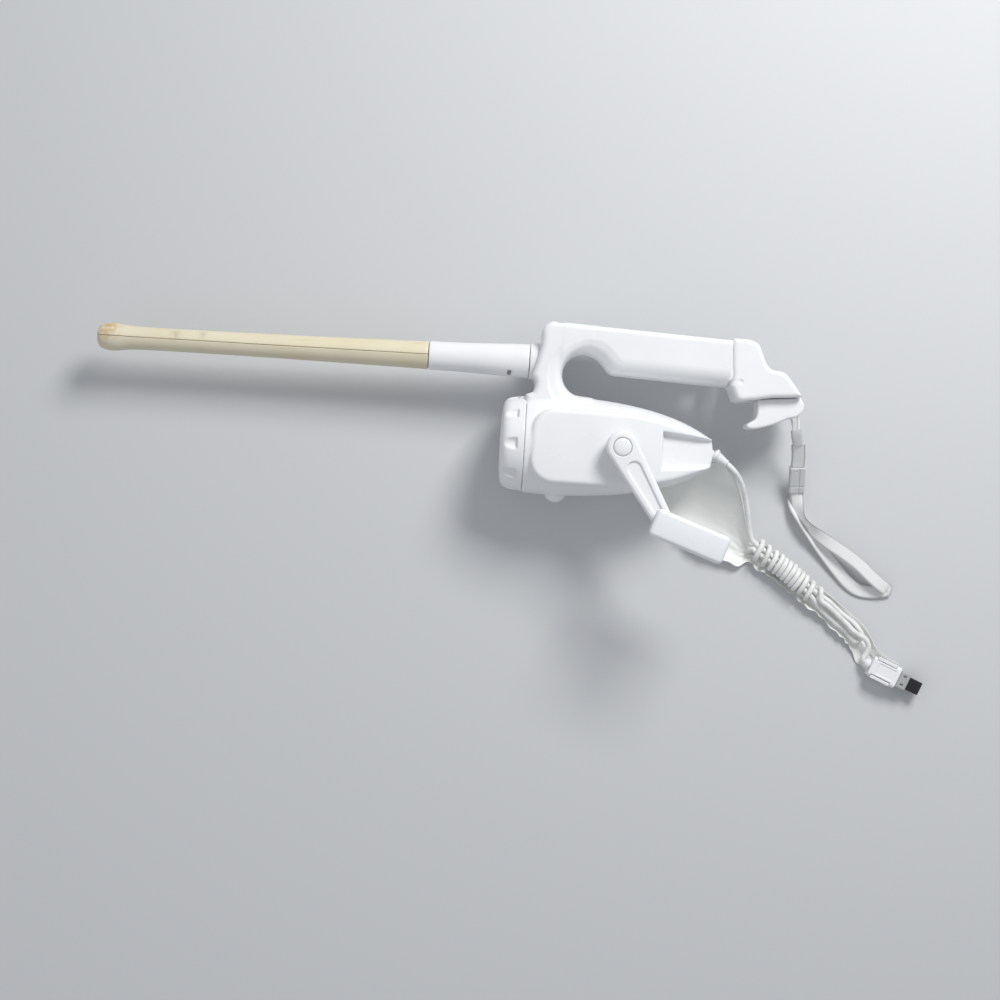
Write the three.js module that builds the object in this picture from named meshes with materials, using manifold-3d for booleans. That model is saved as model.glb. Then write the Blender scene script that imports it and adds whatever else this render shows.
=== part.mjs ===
// A fishing-rod game controller: a grip that holds a hand controller, a closed reel with a side
// crank, a rod stub, a tail hook with a wrist strap, and a console cable kept in a film pouch.
// Millimetres, +Z up. The object lies on its far side, with the crank side facing up.
// +X runs from the rod tip to the tail, +Y from the reel to the grip. The origin is the point of
// the resting face that lies straight under the crank axle.
import * as THREE from 'three';
import { mergeVertices } from 'three/addons/utils/BufferGeometryUtils.js';
import Module from 'manifold-3d';

const wasm = await Module();
wasm.setup();

// ---- driving dimensions -------------------------------------------------------------------
const GAP = 0.3;                 // clearance between neighbouring pieces
const WALL = 2.4;                // thickness of the moulded shells
const MID = 38;                  // height of the plane where the two shells meet
const SIDE = 38;                 // half the thickness of the reel over its side panels

const ROD_Y = 66;                // rod axis, above the reel axis
const ROD_TIP_X = -420;
const ROD_JOINT_X = -155;        // where the cream tip section meets the white sleeve
const ROD_COLLAR_X = -74.3;
const ROD_BORE = 7.2;
const SPIGOT_R = 8;

const NECK_X = -67;              // front face of the neck
const NECK_HALF = 21;
const REEL_FRONT_X = -75;
const REEL_REAR_X = 75;
const REEL_R = 38.7;
const REEL_SQUASH = 0.94;        // the reel is a little thinner than it is tall
const CAP_FRONT_X = -94.5;
const CAP_SCALLOPS = 9;
const CAP_BORE = 32.2;

const HOLE = { x: -31, y: 56.6, r: 17 };      // finger hole under the controller's trigger
const GRIP = { x: -62, y: 79.4, length: 146.3, height: 36.7, half: 21, tilt: -2.6 * Math.PI / 180 };
const BAY = { half: 18.4, floor: -12, front: 6, rear: 166 };   // along and above the grip's own axis

const CRANK = { radius: 70.3, angle: -57.8 * Math.PI / 180, z: 46, thick: 10, hub: 12.4, end: 7.4 };
const KNOB = { length: 60, width: 22, thick: 17, pivot: 13, angle: -19.6 * Math.PI / 180 };
const AXLE_R = 3;

const GEAR_MODULE = 1.25;
const GEAR_TEETH = 32;
const PINION_TEETH = 12;
const GEAR_Z = 6;
const GEAR_WIDTH = 6;

const BUTTON = { x: -48, r: 8.5, tip: -45.4, hidden: -34 };
const CABLE_D = 4.2;
const STRAP_W = 10;
const STRAP_CORD_D = 1.8;

// ---- materials ------------------------------------------------------------------------------
const finish = (color, roughness, metalness = 0) =>
  new THREE.MeshStandardMaterial({ color, roughness, metalness });
const whiteGloss = finish(0xf1f2f3, 0.32);
const whiteMatte = finish(0xe9ebec, 0.5);
const creamPlastic = finish(0xe9e0bf, 0.45);
const greyPlastic = finish(0xa9acab, 0.5);
const blackPlastic = finish(0x17181a, 0.45);
const steel = finish(0xb9bcc0, 0.3, 1);
const acetal = finish(0xf5f1e2, 0.4);
const boardGreen = finish(0x1f5b3a, 0.6);
const film = finish(0xf2f4ef, 0.6);
const cableWhite = finish(0xe7e8e4, 0.55);
const webbingGrey = finish(0xd3d5d2, 0.85);

// ---- solids -----------------------------------------------------------------------------------
function solid(geometry) {
  const bare = geometry.clone();
  bare.deleteAttribute('normal');
  bare.deleteAttribute('uv');
  const merged = mergeVertices(bare, 1e-4);
  return new wasm.Manifold(new wasm.Mesh({
    numProp: 3,
    vertProperties: new Float32Array(merged.attributes.position.array),
    triVerts: new Uint32Array(merged.index.array),
  }));
}

function geometryOf(manifold) {
  const mesh = manifold.getMesh();
  const geometry = new THREE.BufferGeometry();
  geometry.setAttribute('position', new THREE.BufferAttribute(mesh.vertProperties, 3));
  geometry.setIndex(new THREE.BufferAttribute(mesh.triVerts, 1));
  geometry.computeVertexNormals();
  return geometry;
}

const join = (...solids) => solids.reduce((a, b) => a.add(b));
const cut = (body, ...tools) => tools.reduce((a, b) => a.subtract(b), body);

function block(x0, x1, y0, y1, z0, z1) {
  const geometry = new THREE.BoxGeometry(x1 - x0, y1 - y0, z1 - z0);
  geometry.translate((x0 + x1) / 2, (y0 + y1) / 2, (z0 + z1) / 2);
  return solid(geometry);
}

// A turned body about +Z; the profile is [radius, height] pairs, from the axis to the axis.
function turned(profile, segments = 24) {
  const geometry = new THREE.LatheGeometry(profile.map(([r, h]) => new THREE.Vector2(r, h)), segments);
  geometry.rotateX(Math.PI / 2);
  return solid(geometry);
}

const turnedX = (profile, segments) => turned(profile, segments).rotate([0, 90, 0]);
const turnedY = (profile, segments) => turned(profile, segments).rotate([-90, 0, 0]);

function drum(x, y, z0, z1, r, segments = 20) {
  return turned([[0, z0], [r, z0], [r, z1], [0, z1]], segments).translate([x, y, 0]);
}

// A flat outline raised from z0 to z1, with its edges rounded by `round`.
function plate(shape, z0, z1, round = 0, curveSegments = 8) {
  const geometry = new THREE.ExtrudeGeometry(shape, {
    depth: z1 - z0 - 2 * round, curveSegments, bevelEnabled: round > 0,
    bevelThickness: round, bevelSize: round, bevelOffset: -round, bevelSegments: 2,
  });
  geometry.translate(0, 0, z0 + round);
  return solid(geometry);
}

const polygon = (points) => new THREE.Shape(points.map(([x, y]) => new THREE.Vector2(x, y)));

function roundedRectangle(width, height, topRound, lowRound = topRound) {
  const [w, h] = [width / 2, height / 2];
  const shape = new THREE.Shape();
  shape.moveTo(-w + lowRound, -h);
  shape.lineTo(w - lowRound, -h);
  shape.absarc(w - lowRound, -h + lowRound, lowRound, -Math.PI / 2, 0);
  shape.lineTo(w, h - topRound);
  shape.absarc(w - topRound, h - topRound, topRound, 0, Math.PI / 2);
  shape.lineTo(-w + topRound, h);
  shape.absarc(-w + topRound, h - topRound, topRound, Math.PI / 2, Math.PI);
  shape.lineTo(-w, -h + lowRound);
  shape.absarc(-w + lowRound, -h + lowRound, lowRound, Math.PI, 1.5 * Math.PI);
  return shape;
}

// A closed skin through stations. Each has a place, two directions and an outline of [u, v] pairs.
function loft(stations) {
  const sides = stations[0].outline.length;
  const positions = stations.flatMap(({ at, across, up, outline }) => outline.flatMap(([u, v]) =>
    [at.x + u * across.x + v * up.x, at.y + u * across.y + v * up.y, at.z + u * across.z + v * up.z]));
  const index = [];
  for (let i = 0; i < stations.length - 1; i += 1) {
    for (let j = 0; j < sides; j += 1) {
      const [a, b] = [i * sides + j, i * sides + (j + 1) % sides];
      index.push(a, b, b + sides, a, b + sides, a + sides);
    }
  }
  const flat = stations[0].outline.map(([u, v]) => new THREE.Vector2(u, v));
  const last = (stations.length - 1) * sides;
  for (const [a, b, c] of THREE.ShapeUtils.triangulateShape(flat, [])) {
    index.push(a, c, b, last + a, last + b, last + c);
  }
  const geometry = new THREE.BufferGeometry();
  geometry.setAttribute('position', new THREE.Float32BufferAttribute(positions, 3));
  geometry.setIndex(index);
  return geometry;
}

const UP = new THREE.Vector3(0, 0, 1);

// Stations along a route of [x, y, z] points, each standing across the route in plan.
function stationsAlong(route, outlineAt) {
  const points = route.map((p) => new THREE.Vector3(...p));
  return points.map((at, i) => {
    const ahead = points[Math.min(i + 1, points.length - 1)].clone().sub(points[Math.max(i - 1, 0)]);
    const across = new THREE.Vector3(-ahead.y, ahead.x, 0).normalize();
    return { at, across, up: UP, outline: outlineAt(i) };
  });
}

function ellipse(width, height, sides) {
  return Array.from({ length: sides }, (_, i) => {
    const turn = 2 * Math.PI * i / sides;
    return [width / 2 * Math.cos(turn), height / 2 * Math.sin(turn)];
  });
}

// A round tube along a smooth route.
function tubeAlong(points, diameter, steps, sides = 8) {
  const curve = new THREE.CatmullRomCurve3(points.map((p) => new THREE.Vector3(...p)), false, 'centripetal');
  const section = new THREE.Shape();
  section.absarc(0, 0, diameter / 2, 0, 2 * Math.PI);
  return new THREE.ExtrudeGeometry(section, {
    steps, extrudePath: curve, bevelEnabled: false, curveSegments: sides,
  });
}

// ---- the object's tree: the machine's own heights are measured from its mid-plane -----------------
const object = new THREE.Group();
const machine = new THREE.Group();
machine.position.z = MID;
object.add(machine);

function addPiece(name, shape, material, parent = machine) {
  const mesh = new THREE.Mesh(shape.isBufferGeometry ? shape : geometryOf(shape), material);
  mesh.name = name;
  parent.add(mesh);
  return mesh;
}

// ---- rod: a hollow cream tip in two halves, a spigot, and a white tapered sleeve -------------------
const rodGroup = new THREE.Group();
rodGroup.position.y = ROD_Y;
machine.add(rodGroup);
const spigotFront = ROD_JOINT_X - 38;

function rodTip() {
  const skin = [[0, 0], [6.5, 1.5], [9.6, 4.5], [11.1, 10], [11.1, 16], [10.1, 22], [9.4, 30], [9.15, 50],
    [9.2, 95], [9.65, 160], [10.4, 215], [11.1, 265 - GAP], [0, 265 - GAP]];
  const bore = [[0, 6], [5, 6], [ROD_BORE, 14], [ROD_BORE, 226], [SPIGOT_R + GAP, 226],
    [SPIGOT_R + GAP, 266], [0, 266]];
  return cut(turnedX(skin, 24), turnedX(bore, 16)).translate([ROD_TIP_X, 0, 0]);
}

function addRod() {
  const tip = rodTip();
  const [front, rear] = [ROD_TIP_X - 5, ROD_JOINT_X + 5];
  addPiece('rod_tip_upper', tip.intersect(block(front, rear, GAP / 2, 20, -20, 20)), creamPlastic, rodGroup);
  addPiece('rod_tip_lower', tip.intersect(block(front, rear, -20, -GAP / 2, -20, 20)), creamPlastic, rodGroup);
  const spigotRear = NECK_X + 12;
  addPiece('rod_spigot', turnedX([[5.6, spigotFront], [SPIGOT_R, spigotFront], [SPIGOT_R, spigotRear],
    [5.6, spigotRear], [5.6, spigotFront]], 24), greyPlastic, rodGroup);
  const bore = turnedX([[0, ROD_JOINT_X - 1], [SPIGOT_R + GAP, ROD_JOINT_X - 1], [SPIGOT_R + GAP, 0],
    [0, 0]], 24);
  const sleeveEnd = ROD_COLLAR_X - GAP;
  const sleeve = turnedX([[0, ROD_JOINT_X], [11, ROD_JOINT_X], [11.5, ROD_JOINT_X + 1], [11.6, -131],
    [12.4, -107], [13.3, -84], [13.6, sleeveEnd], [0, sleeveEnd]], 24);
  const latchSlot = block(-101, -95, -8.5, -5.5, 5, 14);
  addPiece('rod_sleeve', cut(sleeve, bore, latchSlot), whiteGloss, rodGroup);
  const collarEnd = NECK_X - GAP;
  const collar = turnedX([[0, ROD_COLLAR_X], [14, ROD_COLLAR_X], [14.6, ROD_COLLAR_X + 1.2],
    [14.8, collarEnd], [0, collarEnd]], 24);
  addPiece('rod_collar', cut(collar, bore), whiteGloss, rodGroup);
}

// ---- shells: neck, grip and reel moulded as one, split at the mid-plane ----------------------------
function reelBody(inset) {
  const front = inset > 0 ? REEL_FRONT_X - 1 : REEL_FRONT_X;
  const rear = REEL_REAR_X - inset;
  const skin = [[REEL_R, front], [39.6, -60], [39.4, -35], [38, -12], [35.6, 6], [32.6, 22],
    [28.6, 38], [23.9, 52], [19, 62], [15, 69], [11.5, rear]].map(([r, x]) => [r - inset, x]);
  return turnedX([[0, front], ...skin, [0, rear]], inset > 0 ? 20 : 30).scale([1, 1, REEL_SQUASH]);
}

// Raised side panels of the reel, on both sides; they thin down towards the rear.
function sidePanels(inset) {
  const front = -68.7 + inset;
  const r = 18 - inset;
  const shape = new THREE.Shape();
  shape.moveTo(front, -29 + inset + r);
  shape.lineTo(front, 28 - inset - r);
  shape.absarc(front + r, 28 - inset - r, r, Math.PI, Math.PI / 2, true);
  shape.lineTo(8, 27 - inset);
  shape.lineTo(44, 20.5 - inset);
  shape.lineTo(72 - inset, 12 - inset);
  shape.lineTo(72 - inset, -12 + inset);
  shape.lineTo(44, -22 + inset);
  shape.lineTo(8, -28 + inset);
  shape.lineTo(front + r, -29 + inset);
  shape.absarc(front + r, -29 + inset + r, r, -Math.PI / 2, -Math.PI, true);
  const half = SIDE - inset;
  const taper = plate(polygon([[-80, -half], [16, -half], [80, -half + 13], [80, half - 13],
    [16, half], [-80, half]]), -60, 60).rotate([90, 0, 0]);
  return plate(shape, -half, half, inset > 0 ? 0 : 3.5, 5).intersect(taper);
}

function neckPlate(inset) {
  const [front, top, round] = [NECK_X + inset, 97 - inset, 10 - inset];
  const shape = new THREE.Shape();
  shape.moveTo(front - 7, 0);
  shape.lineTo(front - 7, 36);
  shape.quadraticCurveTo(front, 38, front, 47);
  shape.lineTo(front, top - round);
  shape.absarc(front + round, top - round, round, Math.PI, Math.PI / 2, true);
  shape.lineTo(-14, top - 2);
  shape.lineTo(-14, 0);
  const half = NECK_HALF - inset;
  return plate(shape, -half, half, inset > 0 ? 0 : 4);
}

const intoGrip = (shape) => shape.rotate([0, 0, GRIP.tilt * 180 / Math.PI]).translate([GRIP.x, GRIP.y, 0]);

function gripBody() {
  const section = roundedRectangle(2 * GRIP.half, GRIP.height, 4, 13);
  return intoGrip(plate(section, 0, GRIP.length, 0, 4).rotate([0, 90, 0]));
}

const bayBox = (margin) => intoGrip(block(BAY.front - margin, BAY.rear + margin, BAY.floor - margin, 60,
  -BAY.half - margin, BAY.half + margin));

// The finger hole is round in front and runs out to the rear between the grip and the reel.
function fingerHole(margin) {
  const { x, y, r } = HOLE;
  const [low, high] = [y - r - margin, y + r + margin];
  const shape = new THREE.Shape();
  shape.absarc(x, y, r + margin, 1.5 * Math.PI, 0.3 * Math.PI, true);
  shape.quadraticCurveTo(x + 17, high - 11, x + 34, high - 14.4);
  shape.lineTo(x + 34, low - 2);
  shape.lineTo(x + 12, low);
  return plate(shape, -60, 60, 0, 14);
}

// Recess in the crank side of the reel, open to the rear.
function sidePocket(margin) {
  const [front, high, low] = [32.5 - margin, 14.6 + margin, -15 - margin];
  const shape = polygon([[front, low], [90, low + 4.5], [90, high - 5.5], [front, high]]);
  const floor = plate(shape, 0, 40).intersect(plate(polygon([[20, 30 - margin], [90, 18 - margin],
    [90, 60], [20, 60]]), -60, 60).rotate([90, 0, 0]));
  return floor;
}

// Screws stand in bosses that run through both shells: [x, y, height of the head].
const screwPlaces = [[-34, 30, -18], [-34, -30, -18], [34, 13, -27], [34, -13, -27], [-59, 47, -14],
  [66, 61.5, -12]];
const bossR = 4.2;
const screwBoss = ([x, y]) => drum(x, y, -SIDE, SIDE, bossR, 10);
const screwHole = ([x, y, head]) => join(drum(x, y, -SIDE - 5, head, 3.6, 12),
  drum(x, y, head - 1, head + 34, 1.9, 8));

function addShells() {
  const outside = join(reelBody(0), sidePanels(0), neckPlate(0), gripBody());
  const bosses = join(...screwPlaces.map(screwBoss));
  const underBay = intoGrip(block(50, GRIP.length - 3, BAY.floor - 5, BAY.floor - 2, -12, 12));
  const hollow = cut(join(reelBody(WALL), sidePanels(WALL), cut(neckPlate(WALL), bayBox(WALL)), underBay),
    fingerHole(WALL), sidePocket(WALL), bosses);
  const buttonHole = turnedY([[0, -60], [BUTTON.r + 0.4, -60], [BUTTON.r + 0.4, -30], [0, -30]], 24)
    .translate([BUTTON.x, 0, 0]);
  const body = cut(outside, hollow, bayBox(0), fingerHole(0), sidePocket(0), buttonHole,
    ...screwPlaces.map(screwHole),
    drum(0, 0, 30, 60, 6.3, 24),
    turnedX([[0, 60], [4.3, 60], [4.3, 90], [0, 90]], 20),
    turnedX([[0, NECK_X - 5], [SPIGOT_R + GAP, NECK_X - 5], [SPIGOT_R + GAP, NECK_X + 13],
      [0, NECK_X + 13]], 24).translate([0, ROD_Y, 0]));
  addPiece('shell_near', body.intersect(block(-200, 200, -200, 200, GAP / 2, 60)), whiteGloss);
  addPiece('shell_far', body.intersect(block(-200, 200, -200, 200, -60, -GAP / 2)), whiteGloss);
  screwPlaces.forEach(([x, y, head], i) => {
    const screw = turned([[0, head - 2.6], [2.6, head - 2.6], [3, head - 1.6], [3, head - GAP],
      [1.5, head - GAP], [1.5, head + 30], [0, head + 32]], 12).translate([x, y, 0]);
    const slot = block(x - 0.5, x + 0.5, y - 2.2, y + 2.2, head - 3, head - 1.6);
    addPiece(`shell_screw_${i + 1}`, cut(screw, slot), steel);
  });
}

// ---- front cap: a twist-off cap on a bayonet ring ------------------------------------------------
function addFrontCap() {
  const rear = REEL_FRONT_X - GAP;
  const skin = turnedX([[0, CAP_FRONT_X], [20, CAP_FRONT_X + 0.4], [30, CAP_FRONT_X + 1.4],
    [33.6, CAP_FRONT_X + 3.2], [35.8, CAP_FRONT_X + 6.2], [37, CAP_FRONT_X + 11], [38, rear - 1], [37.6, rear], [0, rear]], 27);
  const bore = turnedX([[0, CAP_FRONT_X + 4], [CAP_BORE - 2, CAP_FRONT_X + 4], [CAP_BORE, CAP_FRONT_X + 6],
    [CAP_BORE, rear + 1], [0, rear + 1]], 24);
  const scallop = turnedX([[0, CAP_FRONT_X - 3], [4.6, CAP_FRONT_X - 3], [4.6, CAP_FRONT_X + 10],
    [3.4, CAP_FRONT_X + 12.5], [0, CAP_FRONT_X + 13.5]], 10).translate([0, 0, 39.6]);
  const scallops = Array.from({ length: CAP_SCALLOPS }, (_, i) =>
    scallop.rotate([2 + 360 * i / CAP_SCALLOPS, 0, 0]));
  addPiece('front_cap', cut(skin, bore, ...scallops), whiteGloss);
  const ringR = 30.4;
  const ring = turnedX([[27.4, -86], [ringR, -86], [ringR, -64], [27.4, -64], [27.4, -86]], 28);
  const lugs = [0, 120, 240].map((turn) => block(-84, -80, -4, 4, 29, 31.1).rotate([turn, 0, 0]));
  addPiece('bayonet_ring', join(ring, ...lugs), acetal);
}

// ---- bottom button -------------------------------------------------------------------------------
function addButton() {
  const { x, r, tip, hidden } = BUTTON;
  const button = turnedY([[0, tip], [3.4, tip + 0.5], [6.2, tip + 2], [8, tip + 4.6], [r, tip + 7],
    [r, hidden - 1], [r + 2, hidden - 1], [r + 2, hidden], [2.5, hidden], [2.5, hidden + 7], [0, hidden + 7]], 24);
  addPiece('bottom_button', button.translate([x, 0, 0]), whiteGloss);
  const bracket = join(block(x - 9, x + 9, -20, -18, -9, 9), block(x - 3, x + 3, -22.4, -20, -3, 3));
  addPiece('button_switch', bracket, blackPlastic);
  const [turns, stepsPerTurn] = [4, 8];
  const points = Array.from({ length: turns * stepsPerTurn + 1 }, (_, i) => {
    const turn = 2 * Math.PI * i / stepsPerTurn;
    const height = hidden + 0.9 + i * 12.2 / (turns * stepsPerTurn);
    return [x + 5.6 * Math.cos(turn), height, 5.6 * Math.sin(turn)];
  });
  addPiece('button_spring', tubeAlong(points, 0.9, turns * stepsPerTurn, 2), steel);
}

// ---- crank, with its axle, gear and knob ---------------------------------------------------------
const crankEnd = [CRANK.radius * Math.cos(CRANK.angle), CRANK.radius * Math.sin(CRANK.angle)];

function toothedWheel(teeth, width, boreR) {
  const pitchR = GEAR_MODULE * teeth / 2;
  const [rootR, tipR] = [pitchR - 1.25 * GEAR_MODULE, pitchR + 0.85 * GEAR_MODULE];
  const step = 2 * Math.PI / teeth;
  const corners = [[-0.29, rootR], [-0.12, tipR], [0.12, tipR], [0.29, rootR]];
  const points = Array.from({ length: teeth }, (_, i) => corners.map(([part, r]) =>
    [r * Math.cos((i + part) * step), r * Math.sin((i + part) * step)])).flat();
  const shape = polygon(points);
  const bore = new THREE.Path();
  bore.absarc(0, 0, boreR, 0, 2 * Math.PI, true);
  shape.holes.push(bore);
  return plate(shape, 0, width, 0, 5);
}

function addCrank() {
  const top = CRANK.z + CRANK.thick;
  addPiece('crank_axle', drum(0, 0, -24, top - 3, AXLE_R), steel);
  addPiece('drive_gear', join(toothedWheel(GEAR_TEETH, GEAR_WIDTH, AXLE_R + GAP),
    turned([[AXLE_R + GAP, 4], [7, 4], [7, 12], [AXLE_R + GAP, 12], [AXLE_R + GAP, 4]], 24))
    .translate([0, 0, GEAR_Z]), acetal);
  addPiece('crank_hub', turned([[AXLE_R + GAP, SIDE + 0.6], [CRANK.hub - 1.5, SIDE + 0.6],
    [CRANK.hub - 1, CRANK.z - GAP], [AXLE_R + GAP, CRANK.z - GAP], [AXLE_R + GAP, SIDE + 0.6]], 32),
  whiteGloss);

  const { hub, end, radius } = CRANK;
  const lean = Math.asin((hub - end) / radius);
  const shape = new THREE.Shape();
  shape.absarc(0, 0, hub, Math.PI / 2 - lean, 1.5 * Math.PI + lean);
  shape.absarc(radius, 0, end, -Math.PI / 2 + lean, Math.PI / 2 - lean);
  const groove = new THREE.Shape();
  groove.absarc(16, 0, 6.2, Math.PI / 2 - lean, 1.5 * Math.PI + lean);
  groove.absarc(radius - 15, 0, 3.6, -Math.PI / 2 + lean, Math.PI / 2 - lean);
  const arm = cut(plate(shape, CRANK.z, top, 2.4, 8), plate(groove, top - 1.6, top + 3, 0, 6),
    drum(0, 0, 0, 80, AXLE_R + GAP), drum(0, 0, top - 2.6, top + 5, 7.3, 28), drum(radius, 0, 0, 80, 2.3))
    .rotate([0, 0, CRANK.angle * 180 / Math.PI]);
  addPiece('crank_arm', arm, whiteGloss);
  addPiece('hub_cap', turned([[0, top - 2.3], [7, top - 2.3], [7, top - 0.4], [5, top + 0.5],
    [0, top + 0.9]], 28), whiteGloss);
  const pinTop = top + 2 + KNOB.thick - 2.6;
  addPiece('knob_pin', turned([[0, CRANK.z + 1], [2, CRANK.z + 1], [2, pinTop], [0, pinTop]], 16)
    .translate([...crankEnd, 0]), steel);
}

function addKnob() {
  const knobZ = CRANK.z + CRANK.thick + 2;
  const turn = KNOB.angle * 180 / Math.PI;
  const place = (shape) => shape.rotate([0, 0, turn]).translate([...crankEnd, knobZ]);
  const middle = KNOB.length / 2 - KNOB.pivot;
  const outline = roundedRectangle(KNOB.length, KNOB.width, 3.2);
  const hollow = roundedRectangle(KNOB.length - 2 * WALL, KNOB.width - 2 * WALL, 1.5);
  const shell = cut(plate(outline, 0, KNOB.thick, 2.6, 3), plate(hollow, -1, KNOB.thick - WALL - 0.2, 0, 3)
    .subtract(drum(-middle, 0, -2, KNOB.thick, 5.4)), drum(-middle, 0, -2, KNOB.thick - WALL, 2.3))
    .translate([middle, 0, 0]);
  addPiece('crank_knob', place(shell), whiteGloss);
  const lidShape = roundedRectangle(KNOB.length - 2 * WALL - 1, KNOB.width - 2 * WALL - 1, 1.2);
  const lid = cut(plate(lidShape, 0.4, 2, 0, 3), drum(-middle, 0, -2, 9, 5.8)).translate([middle, 0, 0]);
  addPiece('knob_lid', place(lid), whiteMatte);
  addPiece('knob_washer', turned([[2.3, -1.6], [5, -1.6], [5, -0.4], [2.3, -0.4], [2.3, -1.6]], 20)
    .translate([...crankEnd, knobZ]), acetal);
}

// ---- inside the reel: gearbox plates, pinion, encoder and circuit board -----------------------------
const pinionX = -GEAR_MODULE * (GEAR_TEETH + PINION_TEETH) / 2 - 0.25;

function addGearbox() {
  addPiece('axle_bush_near', turned([[AXLE_R + GAP, 33], [8.5, 33], [8.5, 35.3], [6, 35.3], [6, SIDE],
    [AXLE_R + GAP, SIDE], [AXLE_R + GAP, 33]], 24), acetal);
  const pillars = [[-44, 13], [-44, -13], [20, 15], [20, -15]];
  const holes = (z0, z1) => [drum(0, 0, z0, z1, 5.3), drum(pinionX, 0, z0, z1, 1.8, 12)];
  const web = polygon([[-49, -17], [14, -20], [24, -18], [24, 18], [14, 20], [-49, 17]]);
  addPiece('gear_plate', cut(plate(web, -20, -17.5), ...holes(-25, -10)), whiteMatte);
  const posts = pillars.map(([x, y]) => drum(x, y, -17.2, 23, 3, 12));
  addPiece('gear_bridge', cut(join(plate(web, 22, 24), ...posts), ...holes(20, 30)), whiteMatte);
  addPiece('axle_bush_far', turned([[AXLE_R + GAP, -21.5], [5, -21.5], [5, -17.2], [6.6, -17.2], [6.6, -15.5],
    [AXLE_R + GAP, -15.5], [AXLE_R + GAP, -21.5]], 24), acetal);
  addPiece('pinion_shaft', drum(pinionX, 0, -22, 26, 1.5, 12), steel);
  const halfTooth = 180 / PINION_TEETH;
  addPiece('pinion', toothedWheel(PINION_TEETH, GEAR_WIDTH, 1.8).rotate([0, 0, halfTooth])
    .translate([pinionX, 0, GEAR_Z]), acetal);
  const slots = 8;
  const wheel = turned([[1.8, -6], [4, -6], [4, -4.6], [14, -4.6], [14, -3.2], [1.8, -3.2], [1.8, -6]], 24);
  const windows = Array.from({ length: slots }, (_, i) =>
    block(9, 12.5, -1.2, 1.2, -10, 0).rotate([0, 0, 360 * i / slots]));
  addPiece('encoder_wheel', cut(wheel, ...windows).translate([pinionX, 0, 0]), blackPlastic);
  const sensor = cut(block(pinionX - 19, pinionX - 9, -4, 4, -17.2, 2), block(pinionX - 15.5, pinionX, -9, 9, -6, -1.8));
  addPiece('encoder_sensor', sensor, blackPlastic);
  const spring = polygon([[-6, -27.4], [11.2, -24.2], [11.2, -23.6], [-6, -26.8]]);
  addPiece('click_spring', join(plate(spring, GEAR_Z + 0.5, GEAR_Z + GEAR_WIDTH - 0.5),
    block(-9, -6, -28.5, -24.5, -17.2, GEAR_Z + GEAR_WIDTH - 0.5)), steel);
  const board = polygon([[-50, -17], [14, -17], [14, 17], [-50, 17]]);
  addPiece('circuit_board', plate(board, -29, -27.4), boardGreen);
  addPiece('motion_sensor', block(-18, -8, -5, 5, -27.1, -25), blackPlastic);
}

// ---- tail: end block of the bay, and the hook that carries the wrist strap --------------------------
function addTail() {
  const shape = new THREE.Shape();
  shape.moveTo(85.4, 92.2);
  shape.lineTo(98, 91.8);
  shape.quadraticCurveTo(105.4, 91, 107.4, 84);
  shape.lineTo(111.4, 74.6);
  shape.quadraticCurveTo(113.4, 68.8, 119, 68.3);
  shape.quadraticCurveTo(126, 68.3, 130, 64.5);
  shape.lineTo(141.6, 49.2);
  shape.lineTo(118, 47.2);
  shape.lineTo(105, 44.6);
  shape.lineTo(93, 43.2);
  shape.quadraticCurveTo(89.6, 43.6, 88.6, 47.5);
  shape.lineTo(86.4, 54);
  shape.lineTo(83.8, 54.6);
  const bay = cut(plate(shape, -GRIP.half, GRIP.half, 2, 6), bayBox(0));
  const plugWay = intoGrip(block(BAY.rear - 1, 205, -7, 20, -11, 11));
  addPiece('tail_block', cut(bay, plugWay, block(100, 125, 40, 49, -12.5, 12.5)), whiteGloss);

  const hook = new THREE.Shape();
  hook.moveTo(108.2, 46);
  hook.lineTo(108.2, 33);
  hook.quadraticCurveTo(107.6, 28.6, 102.4, 26);
  hook.quadraticCurveTo(99, 23.6, 104, 22);
  hook.quadraticCurveTo(116, 22.4, 126, 28);
  hook.lineTo(137, 32.6);
  hook.quadraticCurveTo(145.6, 36, 145.2, 43);
  hook.lineTo(142, 48.6);
  hook.lineTo(118, 46.8);
  const post = turned([[0, -8], [1.6, -8], [1.6, 8], [0, 8]], 12).translate([139, 37.4, 0]);
  addPiece('tail_hook', cut(plate(hook, -12, 12, 0.9, 6), block(134, 150, 25, 41.2, -3, 3)), whiteGloss);
  addPiece('strap_post', post.intersect(block(130, 150, 30, 42, -2.7, 2.7)), steel);
}

// ---- cable gland and console plug -------------------------------------------------------------------
const GLAND = { x: REEL_REAR_X + 1.6, length: 12, lean: -34 };

function addGland() {
  const x = REEL_REAR_X - WALL;
  const flange = turnedX([[0, x - 3], [6.4, x - 3], [6.4, x - GAP], [4, x - GAP], [4, GLAND.x], [0, GLAND.x]], 20);
  const taper = turnedX([[0, -2.6], [3, -2.6], [5.2, -0.6], [5.2, 1], [3.7, 3], [3, GLAND.length],
    [0, GLAND.length]], 20);
  addPiece('cable_gland', join(flange, taper.rotate([0, 0, GLAND.lean]).translate([GLAND.x + 1.5, 0, 0])),
    whiteMatte);
}

// ---- wrist strap: a thin cord looped round the post, a ferrule, and flat webbing with a slider -------
const strapRoute = [[145.3, 12.6, 31], [147.2, 4, 24.5], [148.2, -4.6, 18.5]];
const loopRoute = [[150.2, -25.9, 7.5], [151.2, -33, 5.4], [154.6, -42, 5.4], [161, -50.6, 5.4],
  [170.5, -59.6, 5.4], [182.5, -70, 5.4], [195, -79.5, 5.4], [205, -89, 5.4], [214, -96.6, 5.4],
  [222, -100.4, 5.4], [228.4, -101.6, 5.4]];
const loopWidths = [8, 7, 7, 8, 13, 18, 23, 24, 23, 18, 9];

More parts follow.
